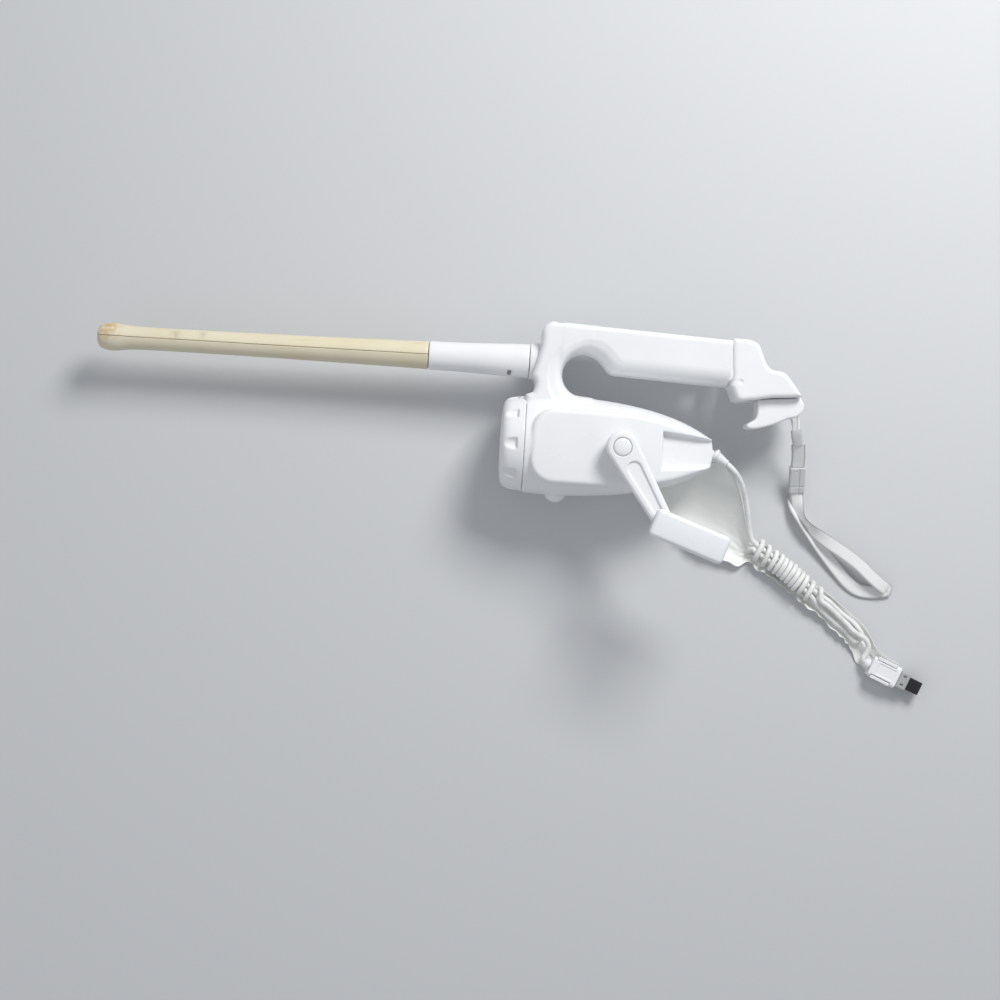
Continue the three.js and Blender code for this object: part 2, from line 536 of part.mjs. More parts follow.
function addStrap() {
  const post = { x: 139, y: 37.4, z: MID };
  const bend = 2.9;
  const cordEnd = [[139.6, 25], [143.6, 24.6]];
  addPiece('strap_cord', tubeAlong([[...cordEnd[0], 37.6], [137.6, 30, 38], [post.x - bend, 35, post.z],
    [post.x - bend, post.y, post.z], [post.x - bend * 0.7, post.y + bend * 0.7, post.z],
    [post.x, post.y + bend, post.z], [post.x + bend * 0.7, post.y + bend * 0.7, post.z],
    [post.x + bend, post.y, post.z], [post.x + bend + 0.4, 35, post.z], [143.2, 30, 38],
    [...cordEnd[1], 37.6]], STRAP_CORD_D, 26, 4), webbingGrey, object);
  const ferrule = stationsAlong([[141.9, 23.9, 37.2], [142.8, 20, 35.6], [145.1, 13, 31.4]],
    (i) => ellipse([7.4, 8.4, STRAP_W - 1][i], 4.6, 10));
  addPiece('strap_ferrule', loft(ferrule), greyPlastic, object);
  const flat = (width, height) => [[-width / 2, -height / 2], [width / 2, -height / 2],
    [width / 2, height / 2], [-width / 2, height / 2]];
  addPiece('strap_webbing', loft(stationsAlong(strapRoute, () => flat(STRAP_W - 2, 3.2))), webbingGrey, object);
  const slider = stationsAlong([[148.3, -5, 17.8], [149.2, -15, 12.2], [150.1, -25, 7.7]], () => flat(STRAP_W + 2.4, 7));
  addPiece('strap_slider', loft(slider), greyPlastic, object);
  addPiece('strap_loop', loft(stationsAlong(loopRoute, (i) => ellipse(loopWidths[i], 9.6, 8))), webbingGrey, object);
}

// ---- console cable: a free lead, a wound hank, and the plug -------------------------------------------
const leadRoute = [[88.4, -6.95, MID], [90, -8.05, 38], [95, -12.6, 36.4], [99.4, -17.6, 32.6],
  [103.3, -24.4, 27.8], [106.4, -32.4, 23], [109, -41, 18.6], [111.2, -50, 14.8], [113.2, -58.4, 11.8],
  [115.6, -66.8, 9.6]];
const hankRoute = [[117, -70.4, 8.8], [121.6, -74.4, 8.8], [135.5, -82.8, 8.8], [149.1, -92.4, 8.8],
  [158.5, -99.8, 8.8], [167.5, -107, 8.8], [179, -116.4, 8.4], [190.4, -126, 8.2], [200, -132.8, 8.2],
  [207.5, -140.4, 8.2], [211.5, -149, 8], [213, -155.5, 7.6]];
const hankWidths = [14, 18, 19, 19, 19, 19, 20, 20, 19, 18, 14, 11];
const hankHeights = [14, 16, 16, 16, 16, 16, 15.6, 15.6, 15.6, 15, 13, 11];
const PLUG = { x: 212.9, y: -160.3, z: 7.4, angle: -23 * Math.PI / 180 };

function addCable() {
  addPiece('cable_lead', tubeAlong(leadRoute, CABLE_D, 26, 4), cableWhite, object);
  const outline = (i) => ellipse(hankWidths[i], hankHeights[i], 12);
  addPiece('cable_hank', loft(stationsAlong(hankRoute, outline)), cableWhite, object);
}

// The plug lies on the surface; its own length runs along its own X.
function addPlug() {
  const place = (shape) => shape.rotate([0, 0, PLUG.angle * 180 / Math.PI]).translate([PLUG.x, PLUG.y, PLUG.z]);
  const [boot, body, collar, nose] = [6, 31, 39.5, 51];
  const section = (x0, x1, width, height, round) =>
    plate(roundedRectangle(height, width, round), x0, x1, 0, 3).rotate([0, 90, 0]);
  addPiece('plug_boot', place(section(1.4, boot, 9, 9, 3)), whiteMatte, object);
  const latchWell = join(block(boot + 3, body - 4.6, -20, -6.2, -4.4, 10), block(boot + 3, body - 4.6, 6.2, 20, -4.4, 10));
  addPiece('plug_body', place(cut(section(boot + GAP, body, 18, 13, 2.6), latchWell)), whiteGloss, object);
  const latch = (side) => block(boot + 3 + GAP, body - 4.6 - GAP, Math.min(side * 6.5, side * 9.4),
    Math.max(side * 6.5, side * 9.4), -4.1, 5.9);
  addPiece('plug_latch_left', place(latch(1)), whiteMatte, object);
  addPiece('plug_latch_right', place(latch(-1)), whiteMatte, object);
  const slots = [3.6, -3.6].map((y) => block(body + 3, body + 5.4, y - 0.9, y + 0.9, 4.2, 9));
  addPiece('plug_collar', place(cut(section(body + GAP, collar, 15, 11.4, 1.6), ...slots)), greyPlastic, object);
  const noseShape = polygon([[-4, -3], [-3, -4], [3, -4], [4, -3], [4, 5.2], [2.6, 6.6], [-2.6, 6.6], [-4, 5.2]]);
  const shroud = plate(noseShape, collar + GAP, nose, 0).rotate([0, 90, 0]);
  addPiece('plug_nose', place(cut(shroud, block(nose - 8, nose + 2, -2.6, 4.8, -2.4, 2.4))), blackPlastic, object);
}

// ---- film pouch: a soft trough that hugs the rear of the reel and narrows to the hank -----------------
function addPouch() {
  // Each row: the right edge and the left edge in plan, and the heights of the two rims.
  const rows = [[81, -5, 28, -35, 27, 7], [93, -17.5, 40, -50, 25.5, 8], [99.5, -30, 55, -64, 20, 10],
    [104.5, -44, 72, -76, 14.5, 11], [108, -58, 90, -84, 10.5, 10], [109.6, -69, 103, -86, 8, 8]];
  const stations = rows.map(([rightX, rightY, leftX, leftY, rightRim, leftRim]) => {
    const right = new THREE.Vector3(rightX, rightY, 0);
    const left = new THREE.Vector3(leftX, leftY, 0);
    const half = right.distanceTo(left) / 2;
    const lip = 1.2;
    const outline = [[-half, leftRim], [-half + 1, 1.6], [-half * 0.8, 0.4], [half * 0.8, 0.4], [half - 1, 2],
      [half, rightRim], [half - lip, rightRim], [half - lip - 1.4, 3.4], [half * 0.74, 2], [-half * 0.74, 2],
      [-half + lip + 1.2, 3], [-half + lip, leftRim]];
    return { at: right.clone().add(left).multiplyScalar(0.5), across: right.clone().sub(left).normalize(), up: UP,
      outline };
  });
  addPiece('film_pouch', loft(stations), film, object);
}

addRod();
addShells();
addFrontCap();
addButton();
addCrank();
addKnob();
addGearbox();
addTail();
addGland();
addStrap();
addCable();
addPlug();
addPouch();

export default object;
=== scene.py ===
# %% [markdown]
# # A fishing-rod game controller
# The real object is a toy fishing rod that holds a hand controller in its grip. It lies on its side:
# a cream rod stub, a white reel with a crank, a tail with a wrist strap, and a console cable that is
# wound into a hank inside a thin film pouch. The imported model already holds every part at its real
# place, so it is loaded first and is never moved. Everything below is built in the same frame.

# %% Load the frame
import math

import bmesh
import bpy
import numpy as np
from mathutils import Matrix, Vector


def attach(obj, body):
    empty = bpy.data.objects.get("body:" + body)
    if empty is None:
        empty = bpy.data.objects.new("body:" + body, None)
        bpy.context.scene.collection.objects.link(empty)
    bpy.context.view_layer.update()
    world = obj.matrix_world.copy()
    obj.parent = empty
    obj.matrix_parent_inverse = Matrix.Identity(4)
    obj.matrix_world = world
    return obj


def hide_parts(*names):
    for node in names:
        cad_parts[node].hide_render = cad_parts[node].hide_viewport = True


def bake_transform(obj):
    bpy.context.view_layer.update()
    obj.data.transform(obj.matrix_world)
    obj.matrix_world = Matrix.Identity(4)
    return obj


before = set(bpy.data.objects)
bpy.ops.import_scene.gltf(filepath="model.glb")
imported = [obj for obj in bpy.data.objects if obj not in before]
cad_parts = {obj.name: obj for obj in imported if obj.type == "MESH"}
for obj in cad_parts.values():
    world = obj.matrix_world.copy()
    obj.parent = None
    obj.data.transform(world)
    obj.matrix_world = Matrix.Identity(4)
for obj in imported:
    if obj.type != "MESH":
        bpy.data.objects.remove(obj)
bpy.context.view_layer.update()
MM = 0.001                      # lengths below are in millimetres and become metres in the meshes
MID = 38.0                      # height of the plane where the two shells meet

# %% [markdown]
# ## Camera
# The object is seen from straight above, turned a few degrees. A camera 1.3 m over the mid-plane with
# a 58.5 mm lens sees 0.8 m across, which is a normal distance for such a picture. A nearer camera
# would swell the crank, which stands highest, and an orthographic one would flatten it.

# %% Camera
VIEW_CENTRE = (-91.5, -46.2)
VIEW_DISTANCE = 1300.0
VIEW_ROLL = math.radians(3.4)
LENS, SENSOR = 58.5, 36.0


def new_object(name, data):
    """An object of the scene, at the origin."""
    obj = bpy.data.objects.new(name, data)
    bpy.context.scene.collection.objects.link(obj)
    return obj


camera_data = bpy.data.cameras.new("camera")
camera_data.lens = LENS
camera_data.sensor_width = SENSOR
camera = new_object("camera", camera_data)
camera.location = Vector((*VIEW_CENTRE, MID + VIEW_DISTANCE)) * MM
camera.rotation_euler = (0, 0, VIEW_ROLL)
bpy.context.scene.camera = camera
print("width seen at the mid-plane:", round(VIEW_DISTANCE * SENSOR / LENS, 1), "mm")

# %% [markdown]
# ## Floor and light
# White plastic only reads as white when the floor is a little darker than it, so the floor is pale
# grey. One wide lamp stands beyond the grip, so every edge that faces the reel's underside falls into
# soft shade, and a weak one opposite keeps the shade from going black. Wide lamps give soft shadows.

# %% Floor and lights
FLOOR_GREY = (0.62, 0.63, 0.64, 1)
FLOOR_HALF = 4.0                # metres
FLOOR_DROP = 0.0002             # metres under the object, so that nothing flickers through it
SKY_COLOR, SKY_STRENGTH = (0.92, 0.95, 1.0, 1), 0.42


def lamp(name, place, aim, size, watts):
    """A square area lamp at one point, facing another, both in metres."""
    data = bpy.data.lights.new(name, "AREA")
    data.size = size
    data.energy = watts
    obj = new_object(name, data)
    obj.location = place
    obj.rotation_euler = (Vector(aim) - Vector(place)).to_track_quat("-Z", "Y").to_euler()


lamp("key", (0.55, 1.05, 1.15), (0.0, 0.0, 0.03), 0.55, 21)
lamp("fill", (-0.9, -0.8, 1.3), (0.0, 0.0, 0.0), 1.6, 3)
world = bpy.data.worlds.new("studio")
world.use_nodes = True
sky = world.node_tree.nodes["Background"].inputs
sky["Color"].default_value = SKY_COLOR
sky["Strength"].default_value = SKY_STRENGTH
bpy.context.scene.world = world
bpy.context.scene.view_settings.view_transform = "Standard"

floor_mesh = bpy.data.meshes.new("floor")
floor_mesh.from_pydata([(x * FLOOR_HALF, y * FLOOR_HALF, 0) for x, y in ((-1, -1), (1, -1), (1, 1), (-1, 1))],
                       [], [(0, 1, 2, 3)])
floor = new_object("floor", floor_mesh)
floor.location.z = -FLOOR_DROP
floor_paint = bpy.data.materials.new("floor_paint")
floor_paint.use_nodes = True
floor_look = floor_paint.node_tree.nodes["Principled BSDF"].inputs
floor_look["Base Color"].default_value = FLOOR_GREY
floor_look["Roughness"].default_value = 0.65
floor_mesh.materials.append(floor_paint)
print("lamps and floor ready")

# %% [markdown]
# ## Finishes
# Nearly everything is moulded plastic. A real moulding is not one flat colour: it has a spark-eroded
# grain a fraction of a millimetre wide, a slow drift in tone, and small rubs where hands hold it.
# Each finish is a node tree on Object coordinates, so it needs no unwrapping and stays on the piece.
# Values that are the same everywhere, such as coat or IOR, are set on the shader itself.

# %% Helpers for finishes
class Finish:
    """A material with a Principled shader and a few shorthand ways to add noise to it."""

    def __init__(self, name, color, roughness, metallic=0.0, **sockets):
        self.material = bpy.data.materials.new(name)
        self.material.use_nodes = True
        self.material.diffuse_color = (*color, 1)
        self.nodes = self.material.node_tree.nodes
        self.links = self.material.node_tree.links
        self.shader = self.nodes["Principled BSDF"]
        self.shader.inputs["Base Color"].default_value = (*color, 1)
        self.shader.inputs["Roughness"].default_value = roughness
        self.shader.inputs["Metallic"].default_value = metallic
        for socket, value in sockets.items():
            self.shader.inputs[socket.replace("_", " ")].default_value = value
        self.coordinates = self.nodes.new("ShaderNodeTexCoord").outputs["Object"]
        self.height = None

    def node(self, kind, **values):
        made = self.nodes.new(kind)
        for key, value in values.items():
            if key in made.inputs.keys():
                made.inputs[key].default_value = value
            else:
                setattr(made, key, value)
        return made

    def noise(self, scale, detail=2.0, vector=None):
        made = self.node("ShaderNodeTexNoise", Scale=scale, Detail=detail)
        self.links.new(vector or self.coordinates, made.inputs["Vector"])
        return made.outputs["Fac"]

    def ramp(self, value, low, high, start, end):
        """value mapped from low…high to start…end, held at the ends."""
        made = self.nodes.new("ShaderNodeMapRange")
        for socket, number in zip(("From Min", "From Max", "To Min", "To Max"), (low, high, start, end)):
            made.inputs[socket].default_value = number
        self.links.new(value, made.inputs["Value"])
        return made.outputs["Result"]

    def math(self, operation, a, b=0.0):
        made = self.nodes.new("ShaderNodeMath")
        made.operation = operation
        for socket, value in zip(made.inputs, (a, b)):
            if isinstance(value, (int, float)):
                socket.default_value = value
            else:
                self.links.new(value, socket)
        return made.outputs[0]

    def tint(self, color, amount):
        """Mixes a colour over what the base colour is so far, by a value from 0 to 1."""
        base = self.shader.inputs["Base Color"]
        mix = self.nodes.new("ShaderNodeMix")
        mix.data_type = "RGBA"
        if base.links:
            self.links.new(base.links[0].from_socket, mix.inputs["A"])
        else:
            mix.inputs["A"].default_value = base.default_value
        mix.inputs["B"].default_value = (*color, 1)
        self.links.new(amount, mix.inputs["Factor"])
        self.links.new(mix.outputs["Result"], base)
        return self

    def roughness(self, value):
        self.links.new(value, self.shader.inputs["Roughness"])
        return self

    def bump(self, value, depth_mm, strength=1.0):
        """Adds a relief of that depth where value goes from 0 to 1."""
        made = self.node("ShaderNodeBump", Strength=strength, Distance=depth_mm * MM)
        self.links.new(value, made.inputs["Height"])
        if self.height is not None:
            self.links.new(self.height, made.inputs["Normal"])
        self.height = made.outputs["Normal"]
        self.links.new(self.height, self.shader.inputs["Normal"])
        return self


def moulded(name, color, roughness, grain_mm=0.018, tone=None, **sockets):
    """Moulded plastic: fine grain, a slow drift in tone, and rubbed patches that shine more."""
    finish = Finish(name, color, roughness, **sockets)
    drift = finish.ramp(finish.noise(28, 3), 0.35, 0.75, 0.0, 0.5)
    finish.tint(tone or tuple(c * 0.9 for c in color), drift)
    rubs = finish.noise(70, 5)
    finish.roughness(finish.ramp(rubs, 0.3, 0.7, roughness - 0.06, roughness + 0.1))
    finish.bump(finish.noise(2600, 2), grain_mm)
    finish.bump(finish.noise(95, 1), 0.03, 0.5)
    return finish


# %% Plastic, metal and film finishes
white_gloss = moulded("white_shell", (0.865, 0.872, 0.88), 0.33, 0.012, (0.80, 0.812, 0.83)).material
white_matte = moulded("white_satin", (0.82, 0.83, 0.84), 0.5).material
grey_plastic = moulded("grey_plastic", (0.40, 0.41, 0.405), 0.5).material
black_plastic = moulded("black_plastic", (0.012, 0.012, 0.014), 0.42).material
slider_grey = moulded("slider_grey", (0.62, 0.63, 0.63), 0.45).material
acetal = moulded("acetal", (0.86, 0.83, 0.74), 0.42).material
board_green = moulded("board_laminate", (0.03, 0.17, 0.075), 0.4).material


def brushed_steel():
    finish = Finish("steel", (0.62, 0.63, 0.65), 0.3, 1.0)
    finish.roughness(finish.ramp(finish.noise(900, 3), 0.3, 0.7, 0.22, 0.42))
    finish.bump(finish.noise(1800, 1), 0.006)
    return finish.material


steel = brushed_steel()


def cable_jacket():
    """Soft white jacket: a little translucent, with faint dirt in broad patches."""
    finish = Finish("cable_jacket", (0.84, 0.85, 0.83), 0.48, Subsurface_Weight=0.06)
    finish.shader.inputs["Subsurface Radius"].default_value = (2 * MM,) * 3
    finish.tint((0.60, 0.605, 0.575), finish.ramp(finish.noise(120, 4), 0.45, 0.8, 0.0, 0.7))
    finish.bump(finish.noise(1500, 2), 0.02)
    return finish.material


cable_white = cable_jacket()
print("finishes:", len(bpy.data.materials))

# %% [markdown]
# ## The cable, first as a line
# The cable is one piece of round jacketed wire, 4.2 mm thick. It leaves the gland, sweeps round the
# pouch, runs along the hank nearly to the plug, folds back, and is then wound over its own two
# strands before the last strand goes on into the plug. A curve with a round bevel is the right tool:
# its centre line is exact, so its length can be measured, and the wraps are made by one loop.

# %% Helpers for lines
def smooth_path(points, per_span=8):
    """A Catmull-Rom curve through the points, as an array; extra columns are carried along."""
    p = np.asarray(points, float)
    p = np.vstack((2 * p[:1] - p[1:2], p, 2 * p[-1:] - p[-2:-1]))
    rows = []
    for a, b, c, d in zip(p, p[1:], p[2:], p[3:]):
        for t in np.arange(per_span) / per_span:
            rows.append(0.5 * (2 * b + (c - a) * t + (2 * a - 5 * b + 4 * c - d) * t * t
                               + (3 * b - a - 3 * c + d) * t ** 3))
    rows.append(p[-2])
    return np.array(rows)


def path_length(points):
    return float(np.linalg.norm(np.diff(np.asarray(points)[:, :3], axis=0), axis=1).sum())


def even_steps(points, step):
    """The same line with its points a fixed step apart."""
    p = np.asarray(points, float)
    along = np.concatenate(([0], np.cumsum(np.linalg.norm(np.diff(p[:, :3], axis=0), axis=1))))
    places = np.linspace(0, along[-1], max(2, int(round(along[-1] / step)) + 1))
    return np.column_stack([np.interp(places, along, column) for column in p.T])


def tube_curve(name, points, diameter, material):
    """A round cord as a curve object; its points are in millimetres."""
    data = bpy.data.curves.new(name, "CURVE")
    data.dimensions = "3D"
    data.bevel_depth = diameter / 2 * MM
    data.bevel_resolution = 5
    data.use_fill_caps = True
    spline = data.splines.new("POLY")
    spline.points.add(len(points) - 1)
    weights = np.ones(len(points))
    spline.points.foreach_set("co", np.column_stack((np.asarray(points) * MM, weights)).ravel())
    spline.use_smooth = True
    data.materials.append(material)
    return new_object(name, data)


def plain_copy(name, obj, *spent):
    """What an object looks like after its modifiers, as a plain mesh; the objects given are removed."""
    evaluated = obj.evaluated_get(bpy.context.evaluated_depsgraph_get())
    made = new_object(name, bpy.data.meshes.new_from_object(evaluated))
    for old in (obj, *spent):
        bpy.data.objects.remove(old)
    return made


# %% Cable route
CABLE_D = 4.2
WRAPS = 11.5                    # turns of the cable round its own two strands
WRAP_END = 67.0                 # where the last turn ends, along the hank
WRAP_WIDE, WRAP_HIGH = 7.0, 5.1     # half axes of a turn
NEAR_STRAND, FAR_STRAND = 2.3, 4.6  # half distance of the two strands, in the wraps and past them
LEAD = [[88.4, -6.95, 38], [90.6, -8.5, 37.9], [95, -12.6, 36.4], [99.4, -17.6, 32.6],
        [103.3, -24.4, 27.8], [106.4, -32.4, 23], [109, -41, 18.6], [111.2, -50, 14.8],
        [113.2, -58.4, 11.8], [115.6, -66.0, 10]]
HANK = [[117, -70.4, 9.4], [121.6, -74.4, 9.4], [135.5, -82.8, 9.4], [149.1, -92.4, 9.4],
        [158.5, -99.8, 9.4], [167.5, -107, 9], [179, -116.4, 7.4], [190.4, -126, 6.2],
        [200, -132.8, 6], [206.5, -139.4, 6]]
TO_PLUG = [[207.8, -139.0, 10.2], [213.6, -142.2, 9.6], [216.6, -147.6, 8.6], [215.2, -153.6, 7.8],
           [213.0, -157.4, 7.5], [213.6, -159.9, 7.4], [215.2, -161.2, 7.4]]
PLUG_PLACE = (212.9, -160.3, 7.4)
PLUG_TURN = math.radians(-23)
hank_line = even_steps(smooth_path(HANK, 12), 0.5)
hank_step = path_length(hank_line) / (len(hank_line) - 1)


def on_hank(along, across, up):
    """A point beside the hank's middle line: how far along it, to its left and above it."""
    i = np.clip(along / hank_step, 0, len(hank_line) - 1.001)
    low = int(i)
    here = hank_line[low] + (hank_line[low + 1] - hank_line[low]) * (i - low)
    ahead = hank_line[min(low + 6, len(hank_line) - 1)] - hank_line[max(low - 6, 0)]
    side = np.array([-ahead[1], ahead[0], 0]) / math.hypot(ahead[0], ahead[1])
    return here + side * across + np.array([0, 0, up])


def cable_route():
    """The lead, both strands with a fold between them, the wraps, and the strand to the plug."""
    end = path_length(hank_line)
    spread = lambda s: NEAR_STRAND + (FAR_STRAND - NEAR_STRAND) * min(1, max(0, (s - WRAP_END + 5) / 16))
    points = list(LEAD)
    points += [on_hank(s, spread(s), 0.3 * math.sin(s / 6)) for s in np.arange(4, end, 3)]
    points += [on_hank(end, FAR_STRAND * math.cos(a), 0) + 5.0 * math.sin(a) * np.array([0.5, -0.86, 0])
               for a in np.linspace(0.25, math.pi - 0.25, 7)]
    points += [on_hank(s, -spread(s), 0.3 * math.cos(s / 5)) for s in np.arange(end, 2, -3)]
    # the wraps: three loose ones, a tight run, two loose ones; the turn count drives the place
    turns = np.arange(0, WRAPS + 0.05, 1 / 16)
    places = np.interp(turns, [0, 1, 2, 3, 9.4, 10.5, WRAPS], [1.5, 9.5, 17, 23.5, 51.0, 58.5, WRAP_END])
    for turn, s in zip(turns, places):
        angle = 2 * math.pi * turn - math.pi * 0.75
        fat = 1 + 0.04 * math.sin(2.3 * turn) + 0.03 * math.sin(5.1 * turn)
        points.append(on_hank(s, WRAP_WIDE * fat * math.cos(angle), WRAP_HIGH * fat * math.sin(angle)))
    for s in np.arange(WRAP_END + 5, end - 4, 5):
        lift = 4.9 - 0.8 * (s - WRAP_END) / (end - WRAP_END)
        points.append(on_hank(s, 1.2 * math.sin(s / 11), lift))
    return even_steps(smooth_path(points + TO_PLUG, 6), 1.1)


cable_points = cable_route()
cable = tube_curve("cable", cable_points, CABLE_D, cable_white)
print("cable:", len(cable_points), "points,", round(path_length(cable_points)), "mm long")

# %% [markdown]
# ## Distance fields
# The mouldings have no sharp edges: the reel runs into the neck, the neck into the grip, and every rim
# is eased. Solid booleans followed by bevels break on such shapes. A signed distance field does not:
# it is a function that gives the distance to the surface, negative inside, and two fields can be
# joined or cut with a fillet of any radius. The field is sampled on a grid, one vertex is put in each
# cell the surface crosses, and a few Newton steps pull the vertices exactly onto the surface.

# %% Distance fields
def meet(a, b, fillet=0.0):
    """What two fields share, with its edge rounded to a radius."""
    if fillet == 0:
        return np.maximum(a, b)
    rim = np.hypot(np.maximum(fillet + a, 0), np.maximum(fillet + b, 0))
    return np.minimum(-fillet, np.maximum(a, b)) + rim


def union(a, b, fillet=0.0):
    return -meet(-a, -b, fillet)


def cut(a, b, fillet=0.0):
    return meet(a, -b, fillet)


def outline(points, x, y):
    """Distance to a closed polygon in a plane."""
    x, y = np.broadcast_arrays(x, y)
    nearest = np.full(x.shape, 1e18)
    inside = np.zeros(x.shape, bool)
    for (x0, y0), (x1, y1) in zip(points, list(points[1:]) + [points[0]]):
        ex, ey = x1 - x0, y1 - y0
        t = np.clip(((x - x0) * ex + (y - y0) * ey) / (ex * ex + ey * ey), 0, 1)
        nearest = np.minimum(nearest, (x - x0 - t * ex) ** 2 + (y - y0 - t * ey) ** 2)
        if ey:
            inside ^= ((y0 > y) != (y1 > y)) & (x < x0 + (y - y0) * ex / ey)
    return np.where(inside, -1, 1) * np.sqrt(nearest)


def rounded_box(a, b, half_a, half_b, radius):
    """Distance to a rounded rectangle about the origin of a plane; radius may be an array."""
    qa, qb = np.abs(a) - half_a + radius, np.abs(b) - half_b + radius
    return np.minimum(np.maximum(qa, qb), 0) + np.hypot(np.maximum(qa, 0), np.maximum(qb, 0)) - radius


def arc(x, y, radius, start, stop, count):
    """Points on an arc, angles in degrees."""
    return [(x + radius * math.cos(a), y + radius * math.sin(a))
            for a in np.radians(np.linspace(start, stop, count))]


POLISH = 4                      # Newton steps that pull each vertex onto the surface


def field_mesh(field, low, high, step, extra=((), (), ())):
    """Vertices and faces of the surface where field(x, y, z) is zero, in millimetres.

    low and high are the corners of the grid, and extra holds more grid places for each axis, which
    keep a flat face or a thin rim exactly where it is.
    """
    steps = step if hasattr(step, "__len__") else (step,) * 3
    lines = [np.unique(np.concatenate((np.linspace(a, b, int((b - a) / s) + 2), more)))
             for a, b, s, more in zip(low, high, steps, extra)]
    shape = tuple(len(line) for line in lines)
    values = np.array(np.broadcast_to(field(*np.ix_(*lines)), shape), float)
    cells = tuple(n - 1 for n in shape)
    total = int(np.prod(cells))
    weight = np.zeros(total)
    sums = np.zeros((3, total))
    quads = []
    for axis in range(3):
        others = [i for i in range(3) if i != axis]
        first = values[tuple(slice(0, -1) if i == axis else slice(None) for i in range(3))]
        second = values[tuple(slice(1, None) if i == axis else slice(None) for i in range(3))]
        index = np.array(np.nonzero((first < 0) != (second < 0)))
        a, b = first[tuple(index)], second[tuple(index)]
        t = a / (a - b)
        place = [lines[i][index[i]] for i in range(3)]
        place[axis] = place[axis] + t * (lines[axis][index[axis] + 1] - lines[axis][index[axis]])
        ring = []
        for da, db in ((0, 0), (1, 0), (1, 1), (0, 1)):
            cell = index.copy()
            cell[others[0]] -= da
            cell[others[1]] -= db
            ring.append(np.ravel_multi_index(tuple(cell), cells))
            weight += np.bincount(ring[-1], minlength=total)
            for i in range(3):
                sums[i] += np.bincount(ring[-1], place[i], minlength=total)
        ring = np.array(ring).T
        flip = (a < 0) == (axis != 1)
        ring[flip] = ring[flip][:, ::-1]
        quads.append(ring)
    used = np.nonzero(weight)[0]
    number = np.full(total, -1)
    number[used] = np.arange(len(used))
    points = (sums[:, used] / weight[used]).T
    h = 0.02
    limit = 0.4 * min(steps)
    for _ in range(POLISH):
        value = field(*points.T)
        slope = np.array([(field(*(points + h * e).T) - field(*(points - h * e).T)) / (2 * h)
                          for e in np.eye(3)]).T
        move = value[:, None] * slope / np.maximum((slope ** 2).sum(1), 0.25)[:, None]
        points -= np.clip(move, -limit, limit)
    return points, number[np.vstack(quads)]


def add_mesh(name, points, faces, material, body="root", replaces=(), angle=None):
    """A piece from points in millimetres, riding on a body and standing for CAD nodes."""
    mesh = bpy.data.meshes.new(name)
    if isinstance(faces, np.ndarray):
        mesh.vertices.add(len(points))
        mesh.vertices.foreach_set("co", (np.asarray(points) * MM).ravel())
        mesh.loops.add(faces.size)
        mesh.loops.foreach_set("vertex_index", faces.ravel())
        mesh.polygons.add(len(faces))
        mesh.polygons.foreach_set("loop_start", np.arange(0, faces.size, faces.shape[1]))
        mesh.update(calc_edges=True)
        mesh.validate()
    else:
        mesh.from_pydata([tuple(c * MM for c in p) for p in points], [], faces)
    mesh.materials.append(material)
    mesh.shade_smooth()
    if angle is not None:
        mesh.set_sharp_from_angle(angle=math.radians(angle))
    obj = new_object(name, mesh)
    if body:
        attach(obj, body)
    if replaces:
        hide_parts(*replaces)
    return obj


def moulding(name, field, low, high, step, material=white_gloss, body="root", extra=((), (), ())):
    """A piece made from its field, which stands for the CAD node of the same name."""
    points, faces = field_mesh(field, low, high, step, extra)
    return add_mesh(name + "_skin", points, faces, material, body, (name,))


def outward(obj):
    """Turns all faces of a closed piece outwards."""
    work = bmesh.new()
    work.from_mesh(obj.data)
    bmesh.ops.recalc_face_normals(work, faces=work.faces[:])
    if work.calc_volume(signed=True) < 0:
        bmesh.ops.reverse_faces(work, faces=work.faces[:])
    work.to_mesh(obj.data)
    work.free()
    return obj


# %% [markdown]
# ## The two shells
# Reel, neck and grip are one moulding, split at the mid-plane into a near and a far half that are held
# by screws from the far side. The field is the sum of four simple shapes: a turned reel, slightly
# flattened; raised side panels that thin to the rear; a neck plate with a slanted front face; and the
# grip, an upside-down tunnel. The finger hole, the controller bay and the side pocket are cut from
# it. The wall is got by cutting away the same field moved inwards by its thickness.

# %% Shell field
WALL = 2.4
SPLIT_GAP = 0.15
ROD_Y = 66.0
ROD_BORE = 8.3                  # radius of the hole that the rod's spigot fills
REEL_X = [-75, -60, -35, -12, 6, 22, 38, 52, 62, 69, 75]
REEL_RADIUS = [38.7, 39.6, 39.4, 38, 35.6, 32.6, 28.6, 23.9, 19, 15, 11.5]
REEL_SQUASH = 0.94
GRIP_START = (-62.0, 79.4)
GRIP_TILT = math.radians(-2.6)
GRIP_LENGTH = 146.3
GRIP_HEIGHT = 36.7
GRIP_HALF = 21.0
PANEL_HALF = 38.0
BAY_HALF = 18.4
HOLE = (-31.0, 56.6, 17.0)      # the round part of the finger hole: centre and radius
CREASE = (-25.5, 54.0, 34.5)    # the dish round it
# each screw: its place, and how high the seat of its head is over the mid-plane
SCREWS = [(-34, 30, -18), (-34, -30, -18), (34, 13, -27), (34, -13, -27), (-59, 47, -14), (66, 61.5, -12)]
BUTTON_X = -48.0

